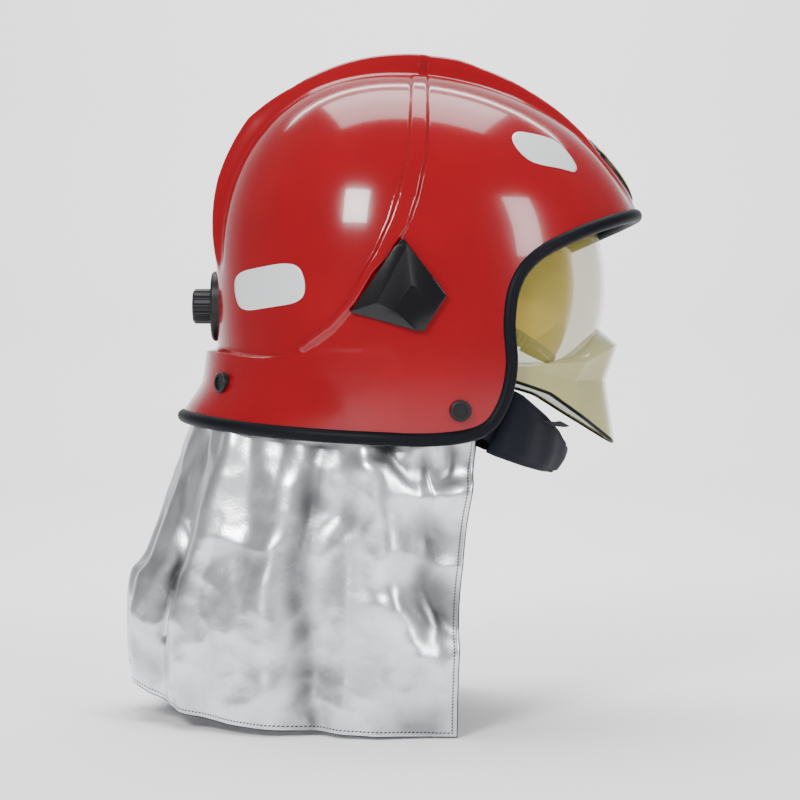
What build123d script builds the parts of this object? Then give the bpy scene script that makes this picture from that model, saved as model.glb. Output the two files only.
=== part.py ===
from build123d import *
from math import atan2, cos, degrees, pi, radians, sin, sqrt
import os

# Jet style fire helmet, in millimetres. +X is the way the wearer faces, +Y the wearer's left, +Z up.
# The origin is the middle of the head opening, at the height of the headband.

# Outer shell
shell_front = 163
shell_rear = 133
shell_half_width = 122
shell_crown = 134
shell_wall = 3.5
widest_x = -10
skirt_depth = 127
skirt_draw_share = 0.05
front_fullness = 2.0
rear_fullness = 2.3
side_fullness = 2.2
overrun = 200
small_gap = 0.3
face_gap = 0.1
shaft_gap = 0.05

# Crest over the crown
crest_half_width = 30
crest_round = 9

# Collar at the rear
collar_top = -50
collar_step = 6
collar_flare = 19
collar_flare_start = -76
collar_flare_end = -99

# The collar is drawn in under the dome's sides, so that it comes out of them towards the rear
collar_tuck = 1.5
collar_lean = 0.125

# Raised rib on each side
rib_height = 2.6

# Rubber edge trim
trim_width = 9
trim_wrap = 2

# Visor pivots
pivot_x = 9
pivot_z = -10.6
pin_radius = 4
pin_head_radius = 8
pin_head_thickness = 2

# Face shield
face_radius = 124.5
face_side = 104
face_flat_radius = 35
face_thickness = 2.5
face_hub_radius = 20
face_boss_radius = 9
face_top_angle = 28
face_bottom_angle = -46
hollow_low_angle = -90
hollow_high_angle = 30
chin_reach = 131
chin_drop = 120

# Eye shield
eye_radius = 103.5
eye_side = 95
eye_thickness = 2.2
eye_hub_radius = 18
eye_boss_radius = 8
eye_top_angle = 25
eye_bottom_angle = -29
nose_half_width = 19
nose_height = 26
nose_seal_angle = 2.5
nose_seal_proud = 0.8
angle_margin = 1

# Hub stack on each pivot pin
hub_thickness = 2.6
spacer_radius = 9
boss_proud = 1
spacer_end_gap = 1.2

# Liner
head_crown = 92
head_front = 90
head_rear = 112
head_half_width = 82
liner_bottom = 2
garage_radius = 98
garage_half_width = 87.5
garage_low_angle = -75
garage_high_angle = 97
garage_hub_radius = 24

# Headband and cradle
band_thickness = 2
band_bottom = -14
band_top = 12
band_rear_gap = 37
cradle_thickness = 1.5
cradle_width = 26
crown_pad_radius = 34
crown_pad_thickness = 6
brow_pad_thickness = 4
brow_pad_half_width = 62

# Ratchet at the rear
ratchet_z = -25
land_x = -129
land_radius = 26
boss_depth = 6
plate_thickness = 7
plate_height = 48
plate_width = 42
knob_radius = 12
knob_length = 13
knob_flutes = 14
flute_radius = 1.4
shaft_radius = 3.5
housing_depth = 19
housing_half_width = 30
housing_half_height = 14
pinion_teeth = 10
gear_module = 1.2
pinion_length = 6
rack_thickness = 3.2
rack_back = 4
rack_length = 58
mesh_gap = 0.35
bore_overrun = 1
nape_pad_thickness = 6

# Side cover over each pivot
cover_height = 6.5
cover_floor = 2.2

# Screw caps
cap_radius = 6.8
cap_height = 4
cap_recess_radius = 4.2
cap_recess_depth = 1
screw_radius = 3
side_screw_x = 31.3
side_screw_z = -96.4
rear_screw_x = -122.7
rear_screw_z = -78.3
nut_radius = 7
nut_thickness = 4

# Badge plate and reflective patches
badge_thickness = 2.4
badge_height = 54
badge_width = 44
badge_x = 138
badge_z = 71
patch_thickness = 0.5
film_gap = 0.05

# Cheek pads
cheek_front = -8
cheek_rear = -64
cheek_top = -28
cheek_bottom = -82
cheek_inner = 93
cheek_round = 9

# Chin harness
strap_reach = 76
strap_side = 105
strap_thickness = 2.4
strap_width = 20
strap_slope = -25
cup_thickness = 5
cup_width = 36
cup_start = 46
lug_radius = 11
lug_thickness = 2
screw_head_gap = 0.7
buckle_length = 28
buckle_width = 26
buckle_thickness = 9
buckle_angle = 65.5

# Neck curtain
curtain_thickness = 2.5
curtain_band_thickness = 2
curtain_band_width = 16
band_rise_share = 0.115
fold_count = 9
fold_depth = 7
curtain_top = -88
curtain_hem = -302


def scale_at(height, crown, fullness):
    if height <= 0:
        return 1 - skirt_draw_share * (height / skirt_depth) ** 2
    return (1 - (height / crown) ** fullness) ** (1 / fullness)


def half_ellipse(center_x, x_radius, y_radius, start_angle):
    return EllipticalCenterArc((center_x, 0), x_radius, y_radius, start_angle, arc_size=180)


def egg_face(height, front, rear, half_width):
    """A level section: half an ellipse forward of the widest line, half an ellipse behind it."""
    front_half = half_ellipse(0, front - widest_x, half_width, -90)
    rear_half = half_ellipse(0, rear + widest_x, half_width, 90)
    return Plane((widest_x, 0, height)) * make_face(front_half + rear_half)


def egg(crown, front, rear, half_width):
    """A dome with straight skirt sides, closed below."""
    skirt_shares = [1, 0.8, 0.6, 0.4, 0.2]
    station_shares = [0, 0.2, 0.38, 0.55, 0.7, 0.82, 0.91, 0.965, 0.993]
    heights = [-skirt_depth * share for share in skirt_shares] + [crown * share for share in station_shares]
    sections = []
    for height in heights:
        front_part = (front - widest_x) * scale_at(height, crown, front_fullness)
        rear_part = (rear + widest_x) * scale_at(height, crown, rear_fullness)
        side_part = half_width * scale_at(height, crown, side_fullness)
        sections.append(egg_face(height, front_part + widest_x, rear_part - widest_x, side_part))
    return loft(sections)


def dome(inset):
    return egg(shell_crown - inset, shell_front - inset, shell_rear - inset, shell_half_width - inset)


def collar_rear(height):
    """How far back the collar reaches at a height."""
    if height >= collar_flare_start:
        return shell_rear + collar_step + (collar_top - height) * collar_lean
    depth = (collar_flare_start - height) / (collar_flare_start - collar_flare_end)
    base = shell_rear + collar_step + (collar_top - collar_flare_start) * collar_lean
    return base + (collar_flare - collar_step) * min(depth, 1) ** 1.3


def collar(inset):
    middle_flare = (collar_flare_start + collar_flare_end) / 2
    middle_step = (collar_top + collar_flare_start) / 2
    below_flare = (collar_flare_end - skirt_depth) / 2
    heights = [
        -skirt_depth, below_flare, collar_flare_end, middle_flare, collar_flare_start, middle_step,
        collar_top]
    sections = []
    for height in heights:
        side_scale = scale_at(height, shell_crown, side_fullness)
        side_part = shell_half_width * side_scale - collar_tuck - inset
        front_part = (shell_front - widest_x) * side_scale + widest_x - 4 * collar_tuck - inset
        top = collar_top - inset if height == collar_top else height
        sections.append(egg_face(top, front_part, collar_rear(height) - inset, side_part))
    return loft(sections)


def shell_form(inset):
    return dome(inset) + collar(inset)


def side_wire(shares, length, height):
    return [(length * x, height * z) for x, z in shares]


def side_prism(face, half_depth=overrun):
    """A face drawn in side view, X across and Z up, run out to both sides."""
    return extrude(Plane.XZ * face, half_depth, both=True)


def side_y(x, z, inset=0):
    """Half width of the shell's surface at a place in side view."""
    scale = scale_at(z, shell_crown, side_fullness)
    front_scale = scale_at(z, shell_crown, front_fullness)
    along = (x - widest_x) / ((shell_front - inset - widest_x) * front_scale)
    return (shell_half_width - inset) * scale * sqrt(1 - along ** 2)


def outer_part(piece):
    """The largest solid of a piece that a wall has cut in two."""
    return max(piece.solids(), key=lambda solid: solid.volume)


def mirrored(piece):
    return mirror(piece, Plane.XZ)


def write(node, shape):
    export_step(shape, "parts/" + node + ".step")


# The shell's lower edge in side view, from the rear round the face opening to the brim.
# Shares of the shell's front reach and crown height.
rim_shares = [
    (-1.03, -0.722), (-0.87, -0.765), (-0.65, -0.803), (-0.43, -0.827), (-0.18, -0.845),
    (0.09, -0.853), (0.275, -0.812), (0.355, -0.69), (0.389, -0.51), (0.38, -0.30),
    (0.404, -0.12), (0.485, 0.015), (0.645, 0.125), (0.82, 0.213), (1.05, 0.318),
]
rim_points = side_wire(rim_shares, shell_front, shell_crown)
rim_line = Spline(rim_points)
below_rim = make_face(
    rim_line
    + Polyline(rim_points[-1], (overrun, -overrun), (-overrun, -overrun), rim_points[0])
)

# The crest's outline in side view, closed inside the dome.
crest_shares = [
    (-0.79, -0.03), (-0.825, 0.08), (-0.836, 0.22), (-0.812, 0.457), (-0.684, 0.781),
    (-0.494, 0.94), (-0.275, 1.063), (-0.089, 1.104), (0.08, 1.104), (0.207, 1.084),
    (0.304, 1.038), (0.502, 0.925), (0.62, 0.815), (0.70, 0.70),
]
crest_points = side_wire(crest_shares, shell_front, shell_crown)


def make_shell():
    crest_line = Spline(crest_points)
    crest_floor = Polyline(
        crest_points[-1], (shell_front / 2, 0), (-shell_rear * 0.7, 0), crest_points[0]
    )
    crest_face = make_face(crest_line + crest_floor)
    crest = side_prism(crest_face, crest_half_width)
    long_edges = [edge for edge in crest.edges() if edge.length > shell_front]
    crest = fillet(long_edges, crest_round)
    outer = shell_form(0) + crest

    # Left and right lines of the rib, in shares of the front reach and the crown height.
    rib_left_shares = [(0.02, 0.98), (-0.005, 0.64), (-0.05, 0.296), (-0.174, -0.063), (-0.412, -0.40)]
    rib_right_shares = [(-0.428, -0.434), (-0.147, -0.063), (0.031, 0.315), (0.068, 0.64), (0.08, 0.98)]
    rib_left = side_wire(rib_left_shares, shell_front, shell_crown)
    rib_right = side_wire(rib_right_shares, shell_front, shell_crown)
    rib_face = make_face(
        Spline(rib_left)
        + Line(rib_left[-1], rib_right[0])
        + Spline(rib_right)
        + Line(rib_right[-1], rib_left[0])
    )
    outer += side_prism(rib_face) & dome(-rib_height)

    shell = outer - shell_form(shell_wall)
    land = Cylinder(land_radius, overrun, rotation=(0, 90, 0))
    shell -= Pos(land_x - overrun / 2, 0, ratchet_z) * land
    boss = Cylinder(land_radius, boss_depth, rotation=(0, 90, 0))
    shell += Pos(land_x + boss_depth / 2, 0, ratchet_z) * boss
    shell -= side_prism(below_rim)
    shell -= Pos(land_x, 0, ratchet_z) * Cylinder(shaft_radius + small_gap, overrun / 2, rotation=(0, 90, 0))
    for side in (1, -1):
        shell -= Pos(pivot_x, side * shell_half_width, pivot_z) * cross_bar(pin_radius, overrun / 4)
        side_screw_middle = Pos(side_screw_x, side * shell_half_width, side_screw_z)
        shell -= side_screw_middle * cross_bar(screw_radius, overrun / 4)
        shell -= rear_screw_place(side) * Cylinder(screw_radius, overrun / 4)
    return shell


def cross_bar(radius, length):
    return Cylinder(radius, length, rotation=(90, 0, 0))


def rear_screw_place(side):
    """On the collar's surface at the rear screw, Z along the outward normal."""
    reach = collar_rear(rear_screw_z) + widest_x
    width = shell_half_width * scale_at(rear_screw_z, shell_crown, side_fullness)
    along = (rear_screw_x - widest_x) / reach
    y = width * sqrt(1 - along ** 2)
    normal = Vector(along / reach, side * y / width ** 2, 0)
    return Plane((rear_screw_x, side * y, rear_screw_z), z_dir=normal).location


def make_trim():
    edge = trace(rim_line, trim_width)
    ring = dome(-trim_wrap) + collar(-trim_wrap)
    ring -= shell_form(shell_wall + trim_wrap)
    return side_prism(edge) & ring


def revolved_wall(radius, side, thickness, low_angle, high_angle):
    """A visor: flat sides near the pivots and a round front, turned about the pivot axis."""
    outer = wall_profile(radius, side)
    inner = wall_profile(radius - thickness, side - thickness)
    return turned(outer - inner, low_angle, high_angle)


def wall_profile(radius, side):
    """Half a section through the pivot axis: X is the distance from the axis, Y runs along it."""
    flat = face_flat_radius
    nose = half_ellipse(flat, radius - flat, side, -90)
    return make_face(nose + Polyline((flat, side), (0, side), (0, -side), (flat, -side)))


def turned(face, low_angle, high_angle):
    """Turns a section about the pivot axis from one angle to the other, up being positive."""
    solid = revolve(face, Axis.Y, -(high_angle - low_angle))
    return Pos(pivot_x, 0, pivot_z) * Rot(0, -low_angle, 0) * solid


def make_face_shield():
    bubble = revolved_wall(face_radius, face_side, face_thickness, face_bottom_angle, face_top_angle)

    # The line where the chin part begins, and the chin part's lower edge, in side view.
    step_shares = [(0.30, -0.50), (0.56, -0.49), (0.70, -0.46), (0.785, -0.345), (0.92, -0.40)]
    step_points = side_wire(step_shares, shell_front, shell_crown)
    lower_shares = [(0.30, -0.53), (0.56, -0.63), (0.72, -0.76), (0.87, -0.885), (0.92, -0.895)]
    lower_points = side_wire(lower_shares, shell_front, shell_crown)
    below_step = Polyline(
        *step_points, (overrun, step_points[-1][1]), (overrun, -overrun), (0, -overrun), close=True
    )
    chin_region = make_face(Polyline(*step_points, *reversed(lower_points), close=True))
    step_band = trace(Polyline(*step_points), face_thickness)

    plan = chin_plan(0) - chin_plan(face_thickness)
    chin = extrude(Plane.XY.offset(-chin_drop) * plan, chin_drop) & side_prism(chin_region)
    filled = extrude(Plane.XY.offset(-chin_drop) * chin_plan(0), chin_drop)
    inner_wall = wall_profile(face_radius - face_thickness, face_side - face_thickness)
    hollow = turned(inner_wall, hollow_low_angle, hollow_high_angle)
    ledge = (side_prism(step_band) & filled) - hollow
    shield = bubble - side_prism(make_face(below_step)) + chin + ledge
    shield -= side_prism(make_face(Polyline(
        *lower_points, (overrun, lower_points[-1][1]), (overrun, -overrun), (0, -overrun), close=True)))
    for side in (1, -1):
        shield += Pos(pivot_x, side * (face_side - face_thickness / 2), pivot_z) * cross_bar(
            face_hub_radius, face_thickness)
        shield -= Pos(pivot_x, side * face_side, pivot_z) * cross_bar(face_boss_radius, overrun / 8)
    return shield


def chin_plan(inset):
    nose = half_ellipse(0, chin_reach - inset, face_side - inset, -90)
    ends = Line((0, face_side - inset), (0, inset - face_side))
    return Pos(pivot_x, 0) * make_face(nose + ends)


def make_eye_shield():
    shield = revolved_wall(eye_radius, eye_side, eye_thickness, eye_bottom_angle, eye_top_angle)
    shield -= nose_notch(nose_half_width, nose_height)
    for side in (1, -1):
        shield += Pos(pivot_x, side * (eye_side - eye_thickness / 2), pivot_z) * cross_bar(
            eye_hub_radius, eye_thickness)
        shield -= Pos(pivot_x, side * eye_side, pivot_z) * cross_bar(eye_boss_radius, overrun / 8)
    return shield


def nose_notch(half_width, height):
    low_z = pivot_z + eye_radius * sin(radians(eye_bottom_angle))
    face = make_face(Polyline(
        (-half_width, low_z - height), (-half_width, low_z), (-half_width / 3, low_z + height),
        (half_width / 3, low_z + height), (half_width, low_z), (half_width, low_z - height), close=True))
    return extrude(Plane.YZ * face, overrun)


def make_nose_seal():
    outer = wall_profile(eye_radius + nose_seal_proud, eye_side + nose_seal_proud)
    depth = eye_thickness + nose_seal_proud
    inner = wall_profile(eye_radius - depth, eye_side - depth)
    low = eye_bottom_angle - nose_seal_angle
    band = turned(outer - inner, low, eye_bottom_angle)
    sides = wall_profile(eye_radius * 2, eye_side * 0.7)
    keep = turned(sides, low - angle_margin, eye_bottom_angle + angle_margin)
    return (band & keep) - nose_notch(nose_half_width, nose_height)


# Places along each pivot pin, from the middle outwards.
eye_hub_in = eye_side - eye_thickness - hub_thickness
pin_end = eye_hub_in - face_gap - pin_head_thickness
eye_boss_out = eye_side + boss_proud
face_hub_in = face_side - face_thickness - hub_thickness
face_boss_out = face_side + boss_proud
spacer_out = side_y(pivot_x, pivot_z, shell_wall) - spacer_end_gap


def disc(radius, inner_y, outer_y, hole=0):
    piece = Pos(pivot_x, (inner_y + outer_y) / 2, pivot_z) * cross_bar(radius, outer_y - inner_y)
    if hole:
        piece -= Pos(pivot_x, (inner_y + outer_y) / 2, pivot_z) * cross_bar(hole, outer_y - inner_y)
    return piece


def make_hub(hub_radius, boss_radius, inner_y, flange_out, boss_out):
    hole = pin_radius + shaft_gap
    return disc(hub_radius, inner_y, flange_out, hole) + disc(boss_radius, flange_out, boss_out, hole)


def make_pivot_pin():
    shank_out = side_y(pivot_x, pivot_z) - shell_wall / 4
    head_out = pin_end + pin_head_thickness
    return disc(pin_radius, pin_end, shank_out) + disc(pin_head_radius, pin_end, head_out)


def make_spacers():
    inner = disc(spacer_radius, eye_boss_out + face_gap, face_hub_in - face_gap, pin_radius)
    outer = disc(spacer_radius, face_boss_out + face_gap, spacer_out, pin_radius)
    return inner, outer


def head_form(inset):
    return egg(head_crown - inset, head_front - inset, head_rear - inset, head_half_width - inset)


def level_slab(bottom, top):
    return Pos(0, 0, (bottom + top) / 2) * Box(2 * overrun, 2 * overrun, top - bottom)


def make_liner():
    liner = dome(shell_wall + small_gap) & level_slab(liner_bottom, overrun)
    liner -= head_form(0)
    big = Pos(overrun / 2, 0) * Rectangle(overrun, 2 * overrun)
    garage = big - wall_profile(garage_radius, garage_half_width)
    liner -= turned(garage, garage_low_angle, garage_high_angle)
    for side in (1, -1):
        place = Pos(pivot_x, side * (garage_half_width + overrun / 2), pivot_z)
        liner -= place * cross_bar(garage_hub_radius, overrun)
    return outer_part(liner)


def make_headband():
    band = (head_form(small_gap) - head_form(small_gap + band_thickness)) & level_slab(band_bottom, band_top)
    gap = Pos(-head_rear, 0, 0) * Box(head_rear, 2 * band_rear_gap, overrun)
    return band - gap


def make_brow_pad():
    start = small_gap + band_thickness + face_gap
    pad = (head_form(start) - head_form(start + brow_pad_thickness)) & level_slab(band_bottom, band_top)
    return pad & (Pos(head_front, 0, 0) * Box(head_front, 2 * brow_pad_half_width, overrun))


def make_cradle():
    cross = Box(overrun, cradle_width, overrun) + Box(cradle_width, overrun, overrun)
    ring = (head_form(small_gap) - head_form(small_gap + cradle_thickness)) & level_slab(band_top, overrun)
    return ring & (Pos(widest_x, 0, 0) * cross)


def make_crown_pad():
    start = small_gap + cradle_thickness + face_gap
    pad = head_form(start) - head_form(start + crown_pad_thickness)
    return pad & (Pos(widest_x, 0, head_crown) * Cylinder(crown_pad_radius, head_crown))


# Ratchet places along X, from the land on the shell
plate_rear_x = land_x - plate_thickness
knob_front_x = plate_rear_x - face_gap
housing_rear_x = land_x + boss_depth
housing_front_x = housing_rear_x + housing_depth
pitch_radius = gear_module * pinion_teeth / 2
tooth_pitch = pi * gear_module
addendum = gear_module * 0.8
pinion_x = housing_front_x - housing_depth / 2
rack_line = pitch_radius + mesh_gap


def along_x(radius, start, end):
    return Pos((start + end) / 2, 0, ratchet_z) * Cylinder(radius, end - start, rotation=(0, 90, 0))


def make_back_plate():
    oval = Plane((land_x, 0, ratchet_z), x_dir=(0, 1, 0), z_dir=(-1, 0, 0))
    plate = extrude(oval * RectangleRounded(plate_width, plate_height, plate_width / 2.2), plate_thickness)
    rear_edges = plate.faces().sort_by(Axis.X)[0].edges()
    plate = fillet(rear_edges, plate_thickness / 3)
    return plate - along_x(shaft_radius + small_gap, plate_rear_x - bore_overrun, land_x + bore_overrun)


def make_knob():
    knob = along_x(knob_radius, knob_front_x - knob_length, knob_front_x)
    knob = chamfer(knob.faces().sort_by(Axis.X)[0].edges(), knob_radius / 8)
    for index in range(knob_flutes):
        angle = 2 * pi * index / knob_flutes
        y = knob_radius * cos(angle)
        z = ratchet_z + knob_radius * sin(angle)
        flute = Cylinder(flute_radius, knob_length * 2, rotation=(0, 90, 0))
        knob -= Pos(knob_front_x - knob_length / 2, y, z) * flute
    return knob


def tooth_face(height):
    """A tooth about its pitch line, with its foot sunk into what carries it."""
    foot = -height * 1.5
    return make_face(Polyline(
        (-root_width / 2, foot), (-root_width / 2, -height), (-tip_width / 2, height),
        (tip_width / 2, height), (root_width / 2, -height), (root_width / 2, foot), close=True))


root_width = tooth_pitch * 0.62
tip_width = tooth_pitch * 0.26


def make_pinion():
    front = pinion_x + pinion_length / 2
    back = pinion_x - pinion_length / 2
    pinion = along_x(pitch_radius - addendum, back, front)
    pinion += along_x(shaft_radius, knob_front_x, front)
    plane = Plane((back, 0, ratchet_z), x_dir=(0, 1, 0), z_dir=(1, 0, 0))
    for index in range(pinion_teeth):
        angle = 360 * index / pinion_teeth
        tooth = Rot(0, 0, angle) * Pos(0, pitch_radius) * tooth_face(addendum)
        pinion += extrude(plane * tooth, pinion_length)
    return pinion


def make_rack(side):
    """The left tongue runs over the pinion, the right one under it."""
    start = -side * rack_length / 3
    middle = start + side * rack_length / 2
    back_z = ratchet_z + side * (rack_line + addendum + rack_back / 2)
    rack = Pos(pinion_x, middle, back_z) * Box(rack_thickness, rack_length, rack_back)
    plane = Plane((pinion_x - rack_thickness / 2, 0, ratchet_z), x_dir=(0, 1, 0), z_dir=(1, 0, 0))
    count = int(rack_length / 3 / tooth_pitch) - 1
    for index in range(-count, count):
        across = (index + 0.5) * tooth_pitch
        tooth = Pos(across, side * rack_line) * Rot(0, 0, 90 + side * 90) * tooth_face(addendum)
        rack += extrude(plane * tooth, rack_thickness)
    return rack


def make_housing():
    middle = (housing_rear_x + housing_front_x) / 2
    box = Box(housing_depth, 2 * housing_half_width, 2 * housing_half_height)
    box = fillet(box.edges().filter_by(Axis.X), housing_half_height / 3)
    box = Pos(middle, 0, ratchet_z) * box
    channel_height = 2 * (rack_line + addendum + rack_back + small_gap)
    channel = Box(rack_thickness + 2 * small_gap, overrun, channel_height)
    box -= Pos(pinion_x, 0, ratchet_z) * channel
    reach = pitch_radius + addendum + small_gap
    box -= along_x(reach, pinion_x - pinion_length / 2 - face_gap, pinion_x + pinion_length / 2 + face_gap)
    return box - along_x(shaft_radius + shaft_gap, housing_rear_x - bore_overrun, pinion_x)


def make_nape_pad():
    pad = Box(nape_pad_thickness, 2 * housing_half_width + nape_pad_thickness, 2 * housing_half_height)
    pad = fillet(pad.edges(), nape_pad_thickness / 2.6)
    return Pos(housing_front_x + face_gap + nape_pad_thickness / 2, 0, ratchet_z) * pad


def skin_patch(plane, outline, thickness, carrier):
    """A thin plate that follows the shell, cut to an outline seen square on."""
    slab = extrude(plane * outline, overrun / 4, both=True)
    skin = (dome(-thickness) - dome(0)) & slab
    return outer_part(skin - carrier)


def make_badge(shell):
    plane = Plane((badge_x, 0, badge_z), x_dir=(0, 1, 0), z_dir=(0.79, 0, 0.61))
    half_w = badge_width / 2
    half_h = badge_height / 2
    outline = make_face(
        ThreePointArc((half_w, half_h / 3), (0, half_h), (-half_w, half_h / 3))
        + ThreePointArc((-half_w, half_h / 3), (-half_w * 0.75, -half_h / 2), (0, -half_h))
        + ThreePointArc((0, -half_h), (half_w * 0.75, -half_h / 2), (half_w, half_h / 3)))
    return skin_patch(plane, outline, badge_thickness, shell)


# Patch outlines in side view, in shares of the front reach and the crown height.
front_patch_shares = [
    (0.41, 0.57), (0.435, 0.608), (0.52, 0.598), (0.605, 0.56), (0.66, 0.49), (0.675, 0.43),
    (0.63, 0.415), (0.52, 0.44), (0.45, 0.49),
]
rear_patch_shares = [
    (-0.69, -0.03), (-0.50, -0.005), (-0.425, -0.10), (-0.455, -0.175), (-0.655, -0.215), (-0.70, -0.09),
]


def make_patch(shares, shell):
    points = side_wire(shares, shell_front, shell_crown)
    corner = shell_front / 30
    outline = fillet(make_face(Polyline(*points, close=True)).vertices(), corner / 2)
    slab = extrude(Plane.XZ * outline, -overrun)
    skin = (dome(-patch_thickness) - dome(-film_gap)) & slab
    return outer_part(skin - shell)


# Kite outline of the side cover and of its sunk pocket, in shares as above.
cover_shares = [
    (-0.031, 0.09), (0.138, -0.178), (0.05, -0.345), (0.022, -0.345), (-0.234, -0.257), (-0.066, 0.043),
]
pocket_shares = [(-0.02, 0.03), (0.105, -0.175), (0.04, -0.30), (-0.165, -0.235), (-0.04, 0.01)]


def make_cover():
    kite = make_face(Polyline(*side_wire(cover_shares, shell_front, shell_crown), close=True))
    cover = extrude(Plane.XZ * kite, -overrun) & (dome(-cover_height) - dome(-rib_height - small_gap))
    foot = extrude(Plane.XZ * kite, -overrun) & (dome(-rib_height - small_gap) - dome(-face_gap))
    cover += foot
    pocket = make_face(Polyline(*side_wire(pocket_shares, shell_front, shell_crown), close=True))
    cover -= extrude(Plane.XZ * pocket, -overrun) - dome(-cover_floor)
    cover -= make_rib_relief()
    return outer_part(cover)


def make_rib_relief():
    shares = [(-0.30, -0.10), (-0.02, 0.10), (-0.02, 0.02), (-0.24, -0.26), (-0.30, -0.26)]
    face = make_face(Polyline(*side_wire(shares, shell_front, shell_crown), close=True))
    return extrude(Plane.XZ * face, -overrun) & dome(-rib_height - small_gap)


def make_cap():
    cap = Pos(0, 0, cap_height / 2) * Cylinder(cap_radius, cap_height)
    cap = fillet(cap.faces().sort_by(Axis.Z)[-1].edges(), cap_height / 3)
    cap += Pos(0, 0, -cap_height / 2) * Cylinder(cap_radius, cap_height)
    return cap - Pos(0, 0, cap_height) * Cylinder(cap_recess_radius, 2 * cap_recess_depth)


def side_screw_place(side):
    y = side * side_y(side_screw_x, side_screw_z)
    return Plane((side_screw_x, y, side_screw_z), z_dir=(0, side, 0)).location


# Chin harness: a loop in a plane that slopes down from the side screws.
harness_plane = Plane(
    (side_screw_x, 0, side_screw_z),
    x_dir=(cos(radians(strap_slope)), 0, sin(radians(strap_slope))),
    z_dir=(-sin(radians(strap_slope)), 0, cos(radians(strap_slope))),
)


def loop_wall(outset, thickness, width, start):
    reach = strap_reach + outset
    side = strap_side + outset
    outer = half_ellipse(0, reach, side, -90) + Line((0, side), (0, -side))
    inner_reach = reach - thickness
    inner_side = side - thickness
    inner = half_ellipse(0, inner_reach, inner_side, -90)
    inner += Line((0, inner_side), (0, -inner_side))
    wall = extrude(make_face(outer) - make_face(inner), width / 2, both=True)
    wall &= Pos(start + overrun / 2, 0, 0) * Box(overrun, 2 * overrun, overrun)
    return wall


def make_straps():
    strap = loop_wall(0, strap_thickness, strap_width, 0)
    front = Pos(cup_start + overrun / 2, 0, 0) * Box(overrun, 2 * overrun, overrun)
    strap -= front
    pieces = harness_plane * strap
    return [solid for solid in pieces.solids()]


def make_cup():
    cup = loop_wall(small_gap, cup_thickness, cup_width, cup_start)
    return harness_plane * cup


# Neck curtain rows: height, rear reach, half width and front edge, in shares of the curtain's sizes.
curtain_rear = 197
curtain_half_width = 111
curtain_front = 42
curtain_row_shares = [
    (0.00, 0.712, 0.970, 1.00, 0.02),
    (0.05, 0.750, 0.968, 1.00, 0.04),
    (0.15, 0.782, 0.968, 1.00, 0.30),
    (0.32, 0.845, 0.990, 0.88, 0.80),
    (0.57, 0.985, 1.010, 0.76, 1.00),
    (0.80, 1.000, 1.030, 0.72, 1.00),
    (1.00, 0.985, 1.050, 0.70, 0.90),
]
fold_shares = [
    0.25, -0.5, 0.9, -0.8, 0.5, -1.0, 0.8, -0.6, 1.0, -0.9, 0.7, -1.0, 0.9, -0.4, 0.6, -0.9, 0.5, -0.2]


# The hem rises where the cloth lies on the wearer's back, in shares of the rear reach and the hem.
hem_shares = [(-1.2, 0.84), (-0.98, 0.895), (-0.83, 0.955), (-0.55, 0.985), (0, 1)]


def curtain_section(height, rear, half_width, front, depth):
    """One level of the cloth: arcs that swell out and in by turns, on half an ellipse."""
    def place(turn, inward, swell):
        angle = radians(turn)
        reach = (shell_front - widest_x) if cos(angle) > 0 else (rear + widest_x)
        x = widest_x + (reach - inward + swell) * cos(angle)
        y = (half_width - inward + swell) * sin(angle)
        return (x, y)

    front_share = (front - widest_x) / (shell_front - widest_x)
    first = degrees(atan2(sqrt(1 - front_share ** 2), front_share))
    count = 2 * fold_count
    turns = [first + (360 - 2 * first) * index / count for index in range(count + 1)]
    outer = []
    inner = []
    for index in range(count):
        middle = (turns[index] + turns[index + 1]) / 2
        swell = depth * fold_shares[index % len(fold_shares)]
        outer.append(ThreePointArc(
            place(turns[index], 0, 0), place(middle, 0, swell), place(turns[index + 1], 0, 0)))
        inner.append(ThreePointArc(
            place(turns[index + 1], curtain_thickness, 0), place(middle, curtain_thickness, swell),
            place(turns[index], curtain_thickness, 0)))
    edges = outer + [Line(place(turns[-1], 0, 0), place(turns[-1], curtain_thickness, 0))]
    edges += inner[::-1] + [Line(place(turns[0], curtain_thickness, 0), place(turns[0], 0, 0))]
    wire = edges[0]
    for edge in edges[1:]:
        wire += edge
    return Plane((0, 0, height)) * make_face(wire)


def make_curtain():
    sections = []
    for drop, rear, width, front, fold in curtain_row_shares:
        height = curtain_top + (curtain_hem - curtain_top) * drop
        sections.append(curtain_section(
            height, curtain_rear * rear, curtain_half_width * width, curtain_front * front,
            fold_depth * fold))
    cloth = loft(sections)
    corner_x = side_screw_x - lug_radius * 1.6
    corner_z = side_screw_z - lug_radius * 1.5
    corner = make_face(Polyline(
        (corner_x, 0), (overrun, 0), (overrun, corner_z), (corner_x, corner_z), close=True))
    cloth -= side_prism(corner)
    hem_line = Spline(side_wire(hem_shares, curtain_rear, curtain_hem))
    below = Polyline((0, curtain_hem), (0, -2 * overrun), (-2 * overrun, -2 * overrun), hem_line @ 0)
    cloth -= side_prism(make_face(hem_line + below))
    for side in (1, -1):
        cloth -= rear_screw_place(side) * Cylinder(nut_radius + small_gap, overrun / 4)
    return outer_part(cloth)


def make_curtain_band():
    """The hook and loop strip inside the shell's lower edge that the cloth is pressed on."""
    band_shares = [(x, z + band_rise_share) for x, z in rim_shares if x < 0]
    line = Spline(side_wire(band_shares, shell_front, shell_crown))
    strip = trace(line, curtain_band_width)
    start = shell_wall + small_gap
    ring = shell_form(start) - shell_form(start + curtain_band_thickness)
    band = side_prism(strip) & ring
    for side in (1, -1):
        band -= rear_screw_place(side) * Cylinder(nut_radius + small_gap, overrun / 4)
    return band


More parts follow.
